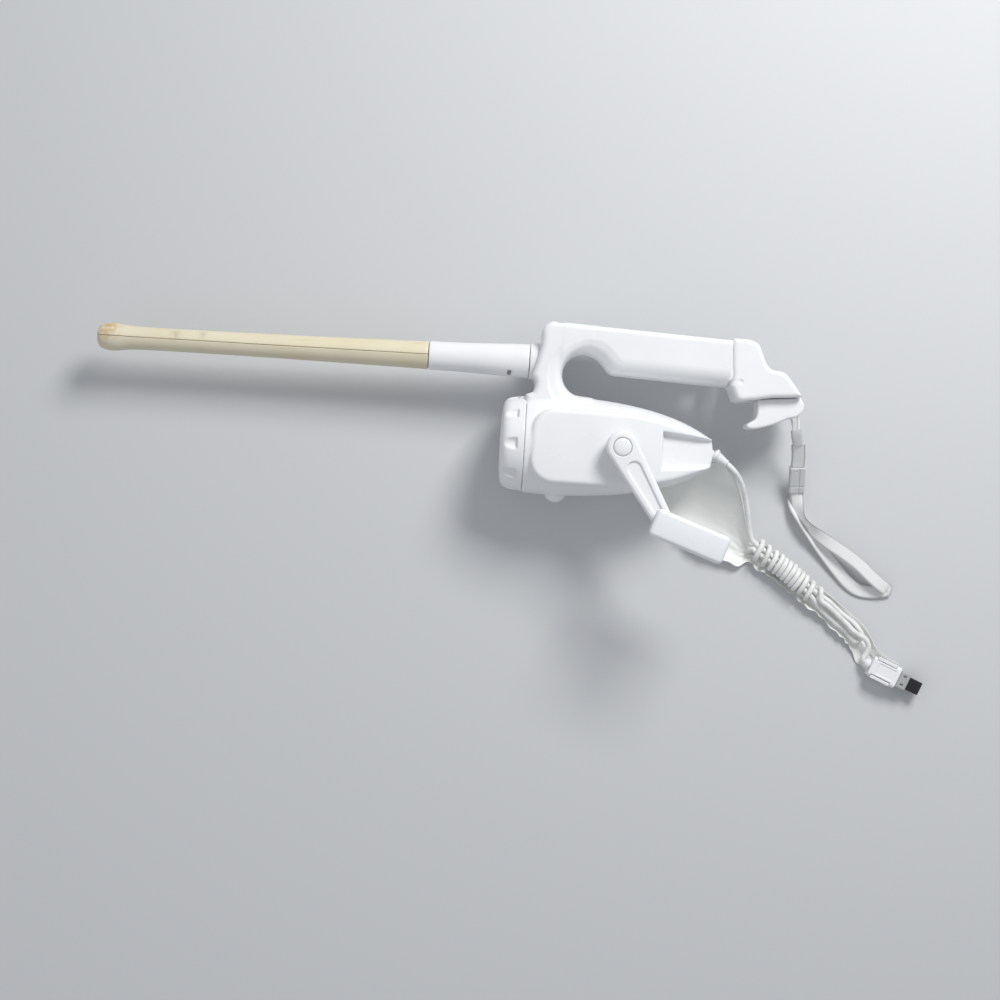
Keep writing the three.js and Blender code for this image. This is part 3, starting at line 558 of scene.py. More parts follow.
reel_curve = np.polynomial.Polynomial.fit(REEL_X, REEL_RADIUS, 5)
reel_slope = reel_curve.deriv()
panel_outline = (arc(-51.4, -12, 19, 180, 270, 9)
                 + [(-20, -31.2), (8, -30.4), (28, -27.4), (44, -23), (60, -17), (72, -11), (74, 0)]
                 + [(72, 11), (60, 15.6), (44, 20.5), (28, 24.2), (8, 27)]
                 + arc(-51.4, 9, 19, 90, 180, 9))
neck_outline = ([(-76, 0), (-76, 38.6), (-70.8, 40.6), (-69.4, 44), (-69.2, 48), (-70.2, 51), (-72.2, 53.6)]
                + [(-69.2, 64), (-66.2, 77), (-65.9, 84)] + arc(-56.2, 87.3, 10, 172, 96, 7)
                + [(-40, 96.8), (-22, 95.95), (-22, 0)])
hole_outline = (arc(HOLE[0], HOLE[1], HOLE[2], 262, 50, 28)
                + [(-17.4, 67.2), (-13.4, 62.6), (-8, 56), (-4, 50), (-8, 39.5), (-20, 38.6), (-27, 39.1)])


def cylinder_z(x, y, cx, cy, radius):
    return np.hypot(x - cx, y - cy) - radius


def grip_frame(x, y):
    """Distance along the grip from its front end, and above its middle line."""
    dx, dy = x - GRIP_START[0], y - GRIP_START[1]
    c, s = math.cos(GRIP_TILT), math.sin(GRIP_TILT)
    return dx * c + dy * s, -dx * s + dy * c


def bay(x, y, z):
    """Room for the hand controller, open upwards."""
    along, up = grip_frame(x, y)
    over_hole = np.clip((60 - along) / 10, 0, 1)
    floor_up = -12.0 + 17.0 * over_hole * over_hole * (3 - 2 * over_hole)
    return meet(meet(np.abs(z) - BAY_HALF, floor_up - up, 2.0), np.abs(along - 86) - 80, 1.5)


def shell_outside(x, y, z):
    z = z - MID
    at = np.clip(x, -75, 75.5)
    reel = (np.hypot(y, z / REEL_SQUASH) - reel_curve(at)) * REEL_SQUASH / np.hypot(1, reel_slope(at))
    reel = meet(meet(reel, x - 75, 3.0), -75 - x, 0.7)
    past = np.maximum(x - 16, 0)
    half = PANEL_HALF - 0.203 * (past - 2 * np.tanh(past / 4)) - 0.0009 * y * y
    panels = meet(outline(panel_outline, x, y), np.abs(z) - half, 3.8)
    hollow = np.clip(CREASE[2] - np.hypot(x - CREASE[0], y - CREASE[1]), 0, 12)
    fade = np.clip((-28 - x) / 16, 0, 1) * np.clip((y - 28) / 8, 0, 1)
    dish = (0.16 * hollow + 0.55 * np.clip(hollow / 1.2, 0, 1)) * fade
    neck = meet(outline(neck_outline, x, y), np.abs(z) - GRIP_HALF + dish, 5.0)
    along, up = grip_frame(x, y)
    corner = np.where(up < 0, 13.0, 4.5)
    grip = rounded_box(up, z, GRIP_HEIGHT / 2, GRIP_HALF, corner)
    grip = meet(meet(grip, along - GRIP_LENGTH, 0.5), 10 - along, 4.0)
    # the finger hole widens towards both faces, so that its rim is a soft roll and not a wall
    roll = np.interp(x, [-46, -38, -28, -16], [7.0, 8.0, 11.0, 13.0])
    reach = np.clip((np.abs(z) - 5) / 16, 0, 0.97)
    opening = outline(hole_outline, x, y) - roll * (1 - np.sqrt(1 - reach ** 2))
    body = cut(union(neck, grip, 0.8), opening, 3.0)
    body = union(body, reel, 2.5)
    body = union(body, panels, 1.0)
    seat = meet(np.hypot(x - BUTTON_X, z) - 10.2, np.abs(y + 37.6) - 1.2, 0.6)
    body = union(body, seat, 1.6)
    pocket = outline([(32.5, -15), (95, -10.1), (95, 8.6), (32.5, 14.6)], x, y)
    pocket = pocket + 0.35 * np.maximum(36 - z - x / 7, 0)
    pocket = meet(pocket, 30.2 - (x - 20) * 0.171 - z, 1.6)
    body = cut(body, pocket, 0.8)
    body = cut(body, bay(x, y, z), 0.8)
    body = cut(body, meet(np.hypot(y - ROD_Y, z) - 15.1, x + 67.1), 0.5)
    return cut(body, meet(np.hypot(y - ROD_Y, z) - ROD_BORE, x + 54))


def shell_body(x, y, z):
    """The wall, with the screw posts left standing and the holes for the moving parts cut."""
    outside = shell_outside(x, y, z)
    z = z - MID
    cavity = meet(outside + WALL, y - 40, 1.0)
    for sx, sy, _ in SCREWS[:4]:
        cavity = cut(cavity, cylinder_z(x, y, sx, sy, 4.2), 0.5)
    body = cut(outside, cavity)
    for sx, sy, head in SCREWS:
        body = cut(body, meet(cylinder_z(x, y, sx, sy, 3.6), z - head), 0.3)
        body = cut(body, meet(cylinder_z(x, y, sx, sy, 1.9), z - min(head + 34, 13)))
    body = cut(body, meet(cylinder_z(x, y, 0, 0, 6.3), 30 - z), 0.5)
    body = cut(body, meet(np.hypot(x - BUTTON_X, z) - 8.9, y + 30), 0.6)
    return cut(body, meet(np.hypot(y, z) - 4.3, 60 - x), 0.3)


def shell_half(name, side):
    field = lambda x, y, z: meet(shell_body(x, y, z), SPLIT_GAP - side * (z - MID), 0.45)
    heights = MID + side * np.array([0.1, 0.35, 0.7, -0.6])
    z0, z1 = sorted((MID - side, MID + 40 * side))
    return moulding(name, field, (-77, -42, z0), (86.5, 100, z1), 1.05, extra=((), (), heights))


near = shell_half("shell_near", 1)
far = shell_half("shell_far", -1)
print("shell faces:", len(near.data.polygons), len(far.data.polygons))

# %% [markdown]
# ## The rod
# The rod is a stub of a toy rod: a cream tip section moulded in two halves with a visible parting
# line, a white tapered sleeve and a collar in the neck. All are turned shapes with easy slopes, so a
# field made from a radius curve gives them smooth skins, and one more cut gives the parting line. The
# cream plastic has yellowed unevenly with age, worst at the tip, so its stain is placed there.

# %% Rod
ROD_TIP_X = -420.0
# distance from the tip, and radius
TIP_CURVE = smooth_path([[0, 4.5], [1.2, 7.6], [4, 9.8], [9, 11.0], [13, 11.2], [17, 10.8], [23, 9.9],
                         [31, 9.35], [50, 9.1], [95, 9.2], [160, 9.65], [215, 10.4], [266, 11.1]], 6)
# dark marks near the tip: place and radius in metres, colour, and how strong
SCUFFS = (((-0.411, 0.0735, 0.046), 0.015, (0.55, 0.33, 0.10), 0.75),
          ((-0.419, 0.066, 0.040), 0.007, (0.36, 0.22, 0.08), 0.6),
          ((-0.357, 0.070, 0.047), 0.006, (0.35, 0.29, 0.2), 0.4),
          ((-0.335, 0.072, 0.047), 0.005, (0.35, 0.29, 0.2), 0.35))


def aged_cream(name, base, shade):
    """Yellowed plastic: a stain near the end face, streaks along the rod, and a few dark scuffs."""
    finish = Finish(name, base, 0.42)
    finish.tint(shade, finish.ramp(finish.noise(22, 4), 0.35, 0.7, 0.0, 0.8))
    stretch = finish.node("ShaderNodeMapping")
    stretch.inputs["Scale"].default_value = (0.12, 1, 1)
    finish.links.new(finish.coordinates, stretch.inputs["Vector"])
    streaks = finish.noise(240, 4, stretch.outputs["Vector"])
    finish.tint((0.60, 0.48, 0.25), finish.ramp(streaks, 0.58, 0.8, 0.0, 0.55))
    for place, radius, color, most in SCUFFS:
        reach = finish.node("ShaderNodeVectorMath")
        reach.operation = "DISTANCE"
        finish.links.new(finish.coordinates, reach.inputs[0])
        reach.inputs[1].default_value = place
        near_it = finish.ramp(reach.outputs["Value"], radius * 0.2, radius, most, 0.0)
        patches = finish.ramp(finish.noise(260, 4), 0.35, 0.6, 0.15, 1.0)
        finish.tint(color, finish.math("MULTIPLY", near_it, patches))
    finish.roughness(finish.ramp(finish.noise(90, 5), 0.3, 0.7, 0.32, 0.52))
    finish.bump(finish.noise(2400, 2), 0.015)
    finish.bump(finish.noise(110, 3), 0.08, 0.5)
    return finish.material


# The two rod halves share one cream. The lower half, which faces away from the lamp, gets it darker as
# painted shade, and the upper half is the lit copy.
upper_cream_lit = aged_cream("rod_cream_lit", (0.80, 0.745, 0.565), (0.76, 0.67, 0.45))
lower_cream_shaded = aged_cream("rod_cream_painted_shade", (0.70, 0.65, 0.50), (0.66, 0.58, 0.40))


def from_rod_axis(y, z):
    return np.hypot(y - ROD_Y, z - MID)


def rod_tip(x, y, z, side):
    around = from_rod_axis(y, z)
    radius = np.interp(x - ROD_TIP_X, TIP_CURVE[:, 0], TIP_CURVE[:, 1])
    body = meet(around - radius, np.abs(x + 287.65) - 132.35, 1.2)
    body = cut(body, meet(around - 7.2, -414 - x), 0.2)
    body = cut(body, meet(around - ROD_BORE, -194 - x))
    return meet(body, SPLIT_GAP - side * (y - ROD_Y), 0.4)


for node, side, paint in (("rod_tip_upper", 1, upper_cream_lit), ("rod_tip_lower", -1, lower_cream_shaded)):
    span = sorted((ROD_Y - side * 0.8, ROD_Y + side * 12.6))
    moulding(node, lambda x, y, z: rod_tip(x, y, z, side), (-422, span[0], 25), (-154, span[1], 51),
             (1.6, 0.75, 0.75), paint, extra=((-419.7, -419, -418), ROD_Y + side * np.array([0.1, 0.4]), ()))


def rod_sleeve(x, y, z):
    around = from_rod_axis(y, z)
    radius = np.interp(x, [-155, -131, -107, -84, -74.6], [11.4, 11.6, 12.4, 13.3, 13.6])
    body = meet(around - radius, np.abs(x + 114.8) - 40.0, 0.5)
    body = cut(body, around - ROD_BORE)
    notch = meet(np.abs(x + 90.2) - 1.6, meet(np.abs(y - 55.6) - 1.7, 39 - z))
    return cut(body, notch, 0.15)


moulding("rod_sleeve", rod_sleeve, (-156.5, 51.5, 23.5), (-73.5, 80.5, 52.5), (1.0, 0.8, 0.8))


def rod_collar(x, y, z):
    around = from_rod_axis(y, z)
    radius = 14.1 + 0.7 * np.clip((x + 74.3) / 6, 0, 1)
    return cut(meet(around - radius, np.abs(x + 70.8) - 3.5, 0.4), around - ROD_BORE)


moulding("rod_collar", rod_collar, (-76, 50, 22), (-66, 82, 54), (0.6, 0.8, 0.8))
print("rod pieces ready")

# %% [markdown]
# ## Cap and button
# The front cap twists off for access to its ring, and has nine scallops for the fingers. It is a
# turned field with the scallops cut as one: the angle round the axis is folded into a ninth of a turn
# first, so a single cutter makes all of them. The button under it is turned from its profile.

# %% Front cap
CAP_X = [-94.5, -94.2, -93.1, -91.3, -88.3, -83.5, -76.3, -75]
CAP_R = [16, 21, 30, 33.6, 35.8, 37, 38, 38]
SCALLOPS = 9
cap_line = smooth_path(np.column_stack((CAP_X, CAP_R)), 6)


def front_cap(x, y, z):
    z = z - MID
    around = np.hypot(y, z)
    radius = np.interp(x, cap_line[:, 0], cap_line[:, 1])
    slope = np.interp(x, [-94.5, -93, -91, -88, -84], [0.12, 0.3, 0.6, 0.85, 1.0])
    body = meet(meet((around - radius) * slope, -94.4 - x, 0.5), x + 75.3, 0.5)
    body = cut(body, meet(around - 32.2, -90.5 - x, 1.0))
    turn = np.arctan2(-y, z) - math.radians(2)
    step = 2 * math.pi / SCALLOPS
    folded = turn - step * np.round(turn / step)
    across, out = around * np.sin(folded), around * np.cos(folded)
    groove = meet(np.hypot(across, out - 39.6) - 5.4, x + 80.6, 1.6)
    return cut(body, groove, 0.6)


moulding("front_cap", front_cap, (-96, -40, -2), (-74, 40, 78), (0.8, 0.85, 0.85), body="cap")


# %% Turned pieces
def turned(name, profile, place, axis, material, body, replaces, segments=64):
    """A turned piece from (radius, height) pairs that begin and end on the axis or close on themselves."""
    points, faces = [], []
    closed = profile[0] == profile[-1]
    rows = profile[:-1] if closed else profile
    direction = Vector(axis).to_track_quat("Z", "Y")
    index = []
    for radius, height in rows:
        ring = []
        count = 1 if radius == 0 else segments
        for k in range(count):
            a = 2 * math.pi * k / segments
            p = direction @ Vector((radius * math.cos(a), radius * math.sin(a), height)) + Vector(place)
            ring.append(len(points))
            points.append(tuple(p))
        index.append(ring)
    pairs = list(zip(index, index[1:] + index[:1])) if closed else list(zip(index, index[1:]))
    for a, b in pairs:
        for k in range(segments):
            corner = [a[k % len(a)], a[(k + 1) % len(a)], b[(k + 1) % len(b)], b[k % len(b)]]
            face = [v for i, v in enumerate(corner) if v not in corner[:i]]
            if len(face) > 2:
                faces.append(face)
    return outward(add_mesh(name, points, faces, material, body, replaces, angle=40))


def eased(profile, round_mm=0.5):
    """The same profile with its inner corners cut back, so that edges catch the light."""
    out = [profile[0]]
    for a, b, c in zip(profile, profile[1:], profile[2:]):
        for other in (a, c):
            reach = math.dist(b, other)
            t = min(round_mm, reach * 0.3) / reach if reach else 0
            out.append((b[0] + (other[0] - b[0]) * t, b[1] + (other[1] - b[1]) * t))
    return out + [profile[-1]]


dome = [(0, -45.4)] + [(8.5 * math.sin(a), -45.4 + 7.4 * (1 - math.cos(a)))
                       for a in np.radians(np.linspace(9, 90, 12))]
turned("bottom_button_skin", dome + eased([(8.5, -37.8), (8.5, -35), (10.5, -35), (10.5, -34), (2.5, -34),
                                           (2.5, -27), (0, -27)])[1:],
       (BUTTON_X, 0, MID), (0, 1, 0), white_gloss, "button", ("bottom_button",))
print("cap and button ready")

# %% [markdown]
# The return spring sits between the shell's inside and the button, and gets shorter when the button is
# pressed. It is a swept coil, made from its turns.

# %% Button spring
SPRING_LOW, SPRING_HIGH = -33.0, -21.4
SPRING_TURNS, SPRING_RADIUS, SPRING_WIRE = 4.5, 5.6, 0.9
coil_turns = np.linspace(0, SPRING_TURNS, 109)
coil = np.column_stack((BUTTON_X + SPRING_RADIUS * np.cos(2 * math.pi * coil_turns),
                        SPRING_LOW + (SPRING_HIGH - SPRING_LOW) * coil_turns / SPRING_TURNS,
                        MID + SPRING_RADIUS * np.sin(2 * math.pi * coil_turns)))
coil_curve = tube_curve("coil_line", coil, SPRING_WIRE, steel)
coil_curve.data.bevel_resolution = 2
spring = plain_copy("button_spring_skin", coil_curve)
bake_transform(spring)
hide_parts("button_spring")
print("spring:", len(spring.data.polygons), "faces")

# %% [markdown]
# ## Crank and knob
# The arm is a tapered bar with a long finger groove, which is easiest as a field in the arm's own
# plane: the distance to a cone-shaped capsule, cut by a smaller one. Its knob is a flat rounded box
# with a bright bevelled rim. Both turn, so each is declared on its own body.

# %% Crank arm, hub and knob
CRANK_ANGLE = math.radians(-57.8)
CRANK_RADIUS = 70.3
CRANK_Z = MID + 46
KNOB_ANGLE = math.radians(-19.6)
crank_end = (CRANK_RADIUS * math.cos(CRANK_ANGLE), CRANK_RADIUS * math.sin(CRANK_ANGLE))


def turned_plane(x, y, angle, cx=0.0, cy=0.0):
    """The same place in a plane turned by an angle about a point."""
    c, s = math.cos(angle), math.sin(angle)
    return (x - cx) * c + (y - cy) * s, -(x - cx) * s + (y - cy) * c


def cone_bar(u, v, u0, u1, r0, r1):
    """Distance to a bar with round ends of two radii."""
    length = u1 - u0
    lean = (r0 - r1) / length
    flat = math.sqrt(1 - lean * lean)
    v = np.abs(v)
    t = np.clip((u - u0 + v * lean / flat) / length, 0, 1)
    return np.hypot(u - u0 - t * length, v) - (r0 + (r1 - r0) * t)


def crank_arm(x, y, z):
    u, v = turned_plane(x, y, CRANK_ANGLE)
    h = z - CRANK_Z
    bar = meet(cone_bar(u, v, 0, CRANK_RADIUS, 12.4, 7.4), np.abs(h - 5) - 5 + 0.004 * v * v, 2.8)
    groove = meet(cone_bar(u, v, 19, CRANK_RADIUS - 15, 5.6, 3.4), 8.3 - h, 0.8)
    bar = cut(bar, groove, 0.7)
    bar = cut(bar, meet(np.hypot(u, v) - 7.3, 7.4 - h), 0.3)
    bar = cut(bar, np.hypot(u, v) - 3.3)
    return cut(bar, np.hypot(u - CRANK_RADIUS, v) - 2.3, 0.2)


moulding("crank_arm", crank_arm, (-14, -68.5, CRANK_Z - 1), (46.5, 14, CRANK_Z + 11), (0.6, 0.6, 0.5),
         body="crank")
turned("hub_cap_skin", eased([(0, 7.7), (7, 7.7), (7, 9.7), (5, 10.5), (0, 10.9)]),
       (0, 0, CRANK_Z), (0, 0, 1), white_gloss, "crank", ("hub_cap",))
turned("crank_hub_skin", eased([(3.3, -7.4), (11.2, -7.4), (11.7, -0.3), (3.3, -0.3), (3.3, -7.4)], 0.4),
       (0, 0, CRANK_Z), (0, 0, 1), white_gloss, "crank", ("crank_hub",))


def crank_knob(x, y, z):
    u, v = turned_plane(x, y, KNOB_ANGLE, *crank_end)
    h = z - CRANK_Z - 12
    u = u - 17
    crown = 0.0011 * u * u + 0.006 * v * v
    box = rounded_box(u, v, 30, 11, 3.6)
    body = meet(box, np.abs(h - 8.5) - 8.5 + crown, 3.0)
    for place in (-12.4, 13.2):
        pip = np.hypot(np.hypot(u - place, v - 9.2) - 1.5, h - 16.4) - 0.28
        body = cut(body, pip, 0.1)
    inside = meet(rounded_box(u, v, 27.6, 8.6, 1.5), h - 14.4)
    post = np.hypot(u + 17, v)
    body = cut(body, meet(inside, 5.4 - post))
    return cut(body, meet(post - 2.3, h - 14.6), 0.2)


# The knob's white is a little darker and cooler than the shell's: painted shade standing in for the grey look
# of the knob's face.
knob_painted_shade = moulded("knob_painted_shade", (0.84, 0.86, 0.88), 0.28, 0.01, (0.80, 0.825, 0.85)).material
moulding("crank_knob", crank_knob, (20, -94, CRANK_Z + 11), (87, -42, CRANK_Z + 30), 0.72, knob_painted_shade, "knob")
print("crank ready, knob pivot at", [round(c, 1) for c in crank_end])

# %% [markdown]
# ## Tail
# The tail closes the rear of the controller bay, and a hook under it carries the strap. Both are
# plates of one outline with eased rims. The outline runs through points that are joined by a smooth
# curve where the real edge is curved, and kept as corners where it is creased.

# %% Tail block and hook
tail_curve = smooth_path([[98, 91.9], [103.2, 90.0], [106.0, 87.2], [108.6, 81.6], [111.4, 75], [114.6, 70.6],
                          [118.8, 68.6], [123.6, 68.2], [128, 66.4], [131.4, 62.9], [136.8, 56],
                          [141.6, 49.4]], 3)
TAIL = ([(84.2, 92.4)] + [tuple(p) for p in tail_curve]
        + [(134, 48.2), (126, 47.7), (118, 47.2), (105, 44.6), (94, 43.0), (90.6, 44.2), (88.8, 47.6)]
        + [(86.9, 52), (84.6, 54.8), (85.9, 59), (86.1, 64), (85.2, 71)])
hook_curve = smooth_path([[108.3, 36.4], [107.9, 32.6], [106.2, 29.2], [101.6, 26.2], [100.2, 24.0],
                          [102.2, 22.2], [106.4, 22.0], [115, 24.0], [124.6, 27.6], [133, 31.6],
                          [138.6, 33.0], [142.8, 36], [144.9, 39.8], [145, 43.6]], 3)
HOOK = [(108.2, 45.4)] + [tuple(p) for p in hook_curve] + [(142.2, 48.6), (130, 47.5), (118, 46.8)]


def tail_block(x, y, z):
    z = z - MID
    body = meet(outline(TAIL, x, y), np.abs(z) - GRIP_HALF, 3.4)
    along, up = grip_frame(x, y)
    body = cut(body, bay(x, y, z), 0.6)
    body = cut(body, meet(meet(np.abs(up - 6.5) - 13.5, np.abs(z) - 11), 165 - along), 0.6)
    body = cut(body, meet(meet(np.abs(x - 112.5) - 12.5, np.abs(y - 42) - 7), np.abs(z) - 12.5), 0.2)
    return cut(body, meet(cylinder_z(x, y, 92.5, 58, 1.5), 20.2 - z), 0.3)


moulding("tail_block", tail_block, (82.5, 41, MID - 22), (144, 94, MID + 22), 0.85)


def tail_hook(x, y, z):
    z = z - MID
    body = meet(outline(HOOK, x, y), np.abs(z) - 12, 1.8)
    return cut(body, meet(meet(np.abs(x - 142) - 8, np.abs(y - 33.1) - 8.1), np.abs(z) - 3), 0.4)


moulding("tail_hook", tail_hook, (98.5, 20, MID - 13), (147, 50, MID + 13), 0.7)
print("tail ready")

# %% [markdown]
# ## Console plug
# The plug is a white grip with a sprung latch on each side, a grey collar and a black nose whose
# socket shows at its end. It lies turned on the floor, so all its fields share one turned plane.

# %% Plug
def plug_frame(x, y, z):
    u, v = turned_plane(x, y, PLUG_TURN, PLUG_PLACE[0], PLUG_PLACE[1])
    return u, v, z - PLUG_PLACE[2]


def from_plug(u, v, h):
    """The place in the scene of a point in the plug's own frame."""
    c, s = math.cos(PLUG_TURN), math.sin(PLUG_TURN)
    return PLUG_PLACE[0] + u * c - v * s, PLUG_PLACE[1] + u * s + v * c, h + PLUG_PLACE[2]


def slab(u, a, b):
    """Distance to the space between two parallel planes."""
    return np.abs(u - (a + b) / 2) - (b - a) / 2


def plug_body(x, y, z):
    u, v, h = plug_frame(x, y, z)
    waist = 0.9 * np.exp(-((u - 12) / 7) ** 2)
    body = meet(rounded_box(v, h, 9 - waist, 6.5, 2.8), slab(u, 6.3, 31), 1.2)
    well = meet(meet(slab(u, 9, 26.4), 6.2 - np.abs(v)), -4.4 - h)
    body = cut(body, well, 0.2)
    ridge = meet(slab(u, 12, 27), meet(np.abs(v) - 4.6, 6.1 - h), 0.2)
    return cut(body, ridge, 0.15)


def plug_latch(x, y, z, side):
    u, v, h = plug_frame(x, y, z)
    rib = 0.35 * np.clip(np.sin(u * 2 * math.pi / 2.2), 0, 1) * (u > 13) * (u < 23)
    return meet(meet(slab(side * v, 6.5, 9.5) + rib, slab(h, -4.1, 5.9), 0.5), slab(u, 9.3, 26.1), 0.6)


def plug_collar(x, y, z):
    u, v, h = plug_frame(x, y, z)
    body = meet(rounded_box(v, h, 7.5, 5.7, 1.7), slab(u, 31.3, 39.5), 0.5)
    slots = meet(meet(slab(u, 34, 36.6), np.abs(np.abs(v) - 3.6) - 1.0), 4.3 - h)
    return cut(body, slots, 0.15)


def plug_nose(x, y, z):
    u, v, h = plug_frame(x, y, z)
    section = meet(rounded_box(v, h, 5.4, 4, 0.8), (np.abs(v) * 0.8 - h * 0.6) - 5.6)
    body = meet(section, slab(u, 39.8, 51), 0.4)
    return cut(body, meet(meet(np.abs(v) - 3.7, np.abs(h) - 2.4), 43 - u), 0.2)


def plug_boot(x, y, z):
    u, v, h = plug_frame(x, y, z)
    rib = 0.4 * np.clip(np.cos(u * 2 * math.pi / 1.9), 0, 1)
    return meet(np.hypot(v, h) - 4.6 + rib + 0.12 * (6 - u), slab(u, 1.4, 6), 0.5)


# each piece with the stretch of the plug that it takes up
PLUG = (("plug_body", plug_body, white_gloss, 6, 31.3),
        ("plug_latch_left", lambda x, y, z: plug_latch(x, y, z, 1), white_matte, 9, 26.4),
        ("plug_latch_right", lambda x, y, z: plug_latch(x, y, z, -1), white_matte, 9, 26.4),
        ("plug_collar", plug_collar, grey_plastic, 31, 39.8),
        ("plug_nose", plug_nose, black_plastic, 39.5, 51.3),
        ("plug_boot", plug_boot, white_matte, 1, 6.3))
for name, field, paint, u0, u1 in PLUG:
    points, faces = field_mesh(lambda u, v, h: field(*from_plug(u, v, h)),
                               (u0 - 0.8, -10.6, -7.2), (u1 + 0.8, 10.6, 7.2), 0.42)
    add_mesh(name + "_skin", np.column_stack(from_plug(*points.T)), faces, paint, replaces=(name,))
print("plug ready")

# %% [markdown]
# ## Gland, and the cable on its body
# Where the cable leaves the reel a short tapered gland holds it. The cable is then put on the root body:
# its length is the measured length of the line it follows, and its far end is the plug.

# %% Gland, and the cable on the root body
GLAND_LEAN = math.radians(-34)
turned("cable_gland_skin", eased([(0, 0), (3.9, 0), (3.9, 5.4), (0, 5.4)]),
       (71.5, 0, MID), (1, 0, 0), white_matte, "root", ("cable_gland",))
turned("cable_gland_taper", [(0, -1.8), (3.2, -1.8), (5.1, -0.5), (5.2, 0.8), (4.3, 2), (3.8, 3), (4.1, 3.4),
                             (3.6, 4.2), (3.9, 4.8), (3.4, 5.6), (3.7, 6.2), (3.2, 7), (3.5, 7.6),
                             (3.05, 8.4), (3.0, 11.6), (2.7, 12), (0, 12)],
       (78.1, 0, MID), (math.cos(GLAND_LEAN), math.sin(GLAND_LEAN), 0), white_matte, "root", ())
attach(cable, "root")
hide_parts("cable_lead", "cable_hank")

# %% [markdown]
# ## Film pouch
# The cable lives in a thin plastic bag, open towards the camera: a trough that hugs the cable on its
# right, runs under the reel, and goes on as a wrinkled tongue under the hank to the plug. Film this
# thin is best lofted: each row has two edges in space and a profile between them, and folds are
# added that gather where the bag narrows. It then gets its real thickness.

# %% Film finish and shape
def bag_film():
    finish = Finish("bag_film", (0.875, 0.885, 0.855), 0.34, Subsurface_Weight=0.12)
    finish.shader.inputs["Subsurface Radius"].default_value = (3 * MM,) * 3
    finish.tint((0.76, 0.785, 0.735), finish.ramp(finish.noise(40, 3), 0.4, 0.8, 0.0, 0.6))
    finish.roughness(finish.ramp(finish.noise(150, 4), 0.3, 0.7, 0.26, 0.48))
    finish.bump(finish.noise(170, 5), 0.25, 0.55)
    finish.bump(finish.noise(1400, 2), 0.02)
    return finish.material


film = bag_film()
FILM_THICKNESS = 0.35
ACROSS = 46                     # points in a row
# each row: the right edge, then the left edge
FILM_ROWS = [[84, -4, 33, 26, -32, 8], [88.5, -10, 34, 32, -40, 8.5], [93.2, -15, 33, 40, -49, 9],
             [98.2, -22, 28, 52, -60, 10], [103.4, -33.4, 21, 65, -71, 10.5], [107.6, -46, 14.6, 79, -79, 11],
             [110.6, -57, 10, 94, -84.4, 8], [114.5, -66, 6, 107, -88.6, 5.5]]
# under the hank: how far along it, then how far out and how high the right and the left edge are
TONGUE = [(6, 7.5, 3, -12.5, 4), (14, 7, 1.6, -13.4, 5.4), (26, 6.8, 1.4, -12.4, 7),
          (40, 6.6, 1.4, -11.6, 6.4), (54, 6.8, 1.6, -11.6, 4.6), (64, 7.6, 2.6, -11.4, 6.4),
          (76, 9.2, 5, -9.6, 6.6), (88, 9.6, 5.8, -9.4, 5), (100, 9.2, 5, -10.2, 6),
          (112, 9.6, 5.4, -10.2, 4.4)]
for s, right, right_z, left, left_z in TONGUE:
    a, b = on_hank(s, right, 0), on_hank(s, left, 0)
    FILM_ROWS.append([a[0], a[1], right_z, b[0], b[1], left_z])
FILM_ROWS += [[219.8, -142.6, 7, 203.4, -150.5, 3], [223.6, -149.4, 8.4, 207, -160, 1],
              [233, -156.6, 8.6, 216, -167, 0.6], [243.6, -161.4, 6.4, 229, -172, 0.6]]
film_edges = even_steps(smooth_path(FILM_ROWS, 8), 1.6)


def film_points():
    """Rows of points from the right to the left edge, with folds that deepen where the bag is narrow."""
    rows = []
    count = len(film_edges)
    t = np.linspace(0, 1, ACROSS)
    for i, (rx, ry, rz, lx, ly, lz) in enumerate(film_edges):
        s = i / (count - 1)
        width = math.dist((rx, ry), (lx, ly))
        neck = math.exp(-((width - 22) / 16) ** 2)
        base = 0.75 + 0.5 * min(1, max(0, (width - 24) / 20))
        z = base + (rz - base) * (1 - t) ** (2.3 + 2.5 * neck) + (lz - base) * t ** 5
        fold = (np.sin(11 * t + 33 * s) * 0.55 + np.sin(27 * t - 27 * s) * 0.35
                + np.sin(41 * t + i * 0.55) * 0.25)
        inner = np.sin(np.pi * np.clip(t, 0.02, 0.98)) ** 0.4
        z = z + np.clip(fold, -0.6, 1.2) * (0.25 + 0.75 * neck) * inner * 0.8
        edge = 0.5 * np.sin(i * 0.9) + 0.3 * np.sin(i * 0.37 + 1)
        x = rx + (lx - rx) * t + edge * t ** 6 * 0.8
        y = ry + (ly - ry) * t + edge * t ** 6
        rows.append(np.column_stack((x, y, np.maximum(z, 0.5))))
    return np.vstack(rows), count


points, count = film_points()
grid = np.arange(count * ACROSS).reshape(count, ACROSS)
faces = np.stack((grid[:-1, :-1], grid[:-1, 1:], grid[1:, 1:], grid[1:, :-1]), -1).reshape(-1, 4)
film_raw = add_mesh("film_raw", points, faces, film, body=None)


def thickened(obj, name, thickness):
    """A closed copy of an open surface, grown to both sides, as a plain mesh."""
    grow = obj.modifiers.new("thickness", "SOLIDIFY")
    grow.thickness = thickness * MM
    grow.offset = 0
    return outward(plain_copy(name, obj))


pouch = thickened(film_raw, "film_pouch_skin", FILM_THICKNESS)
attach(pouch, "root")
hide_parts("film_pouch")

# %% [markdown]
# ## Wrist strap
# A thin cord is looped round a steel post in the hook and goes into a ferrule. Flat webbing hangs from
# the ferrule, passes through a slider, and lies on the floor as a folded loop with one ply over the
# other. Webbing does not stretch sideways, so it is swept with one constant section; only its roll
# about its own line changes. Its weave is drawn in UV, which follows the ribbon through every twist.

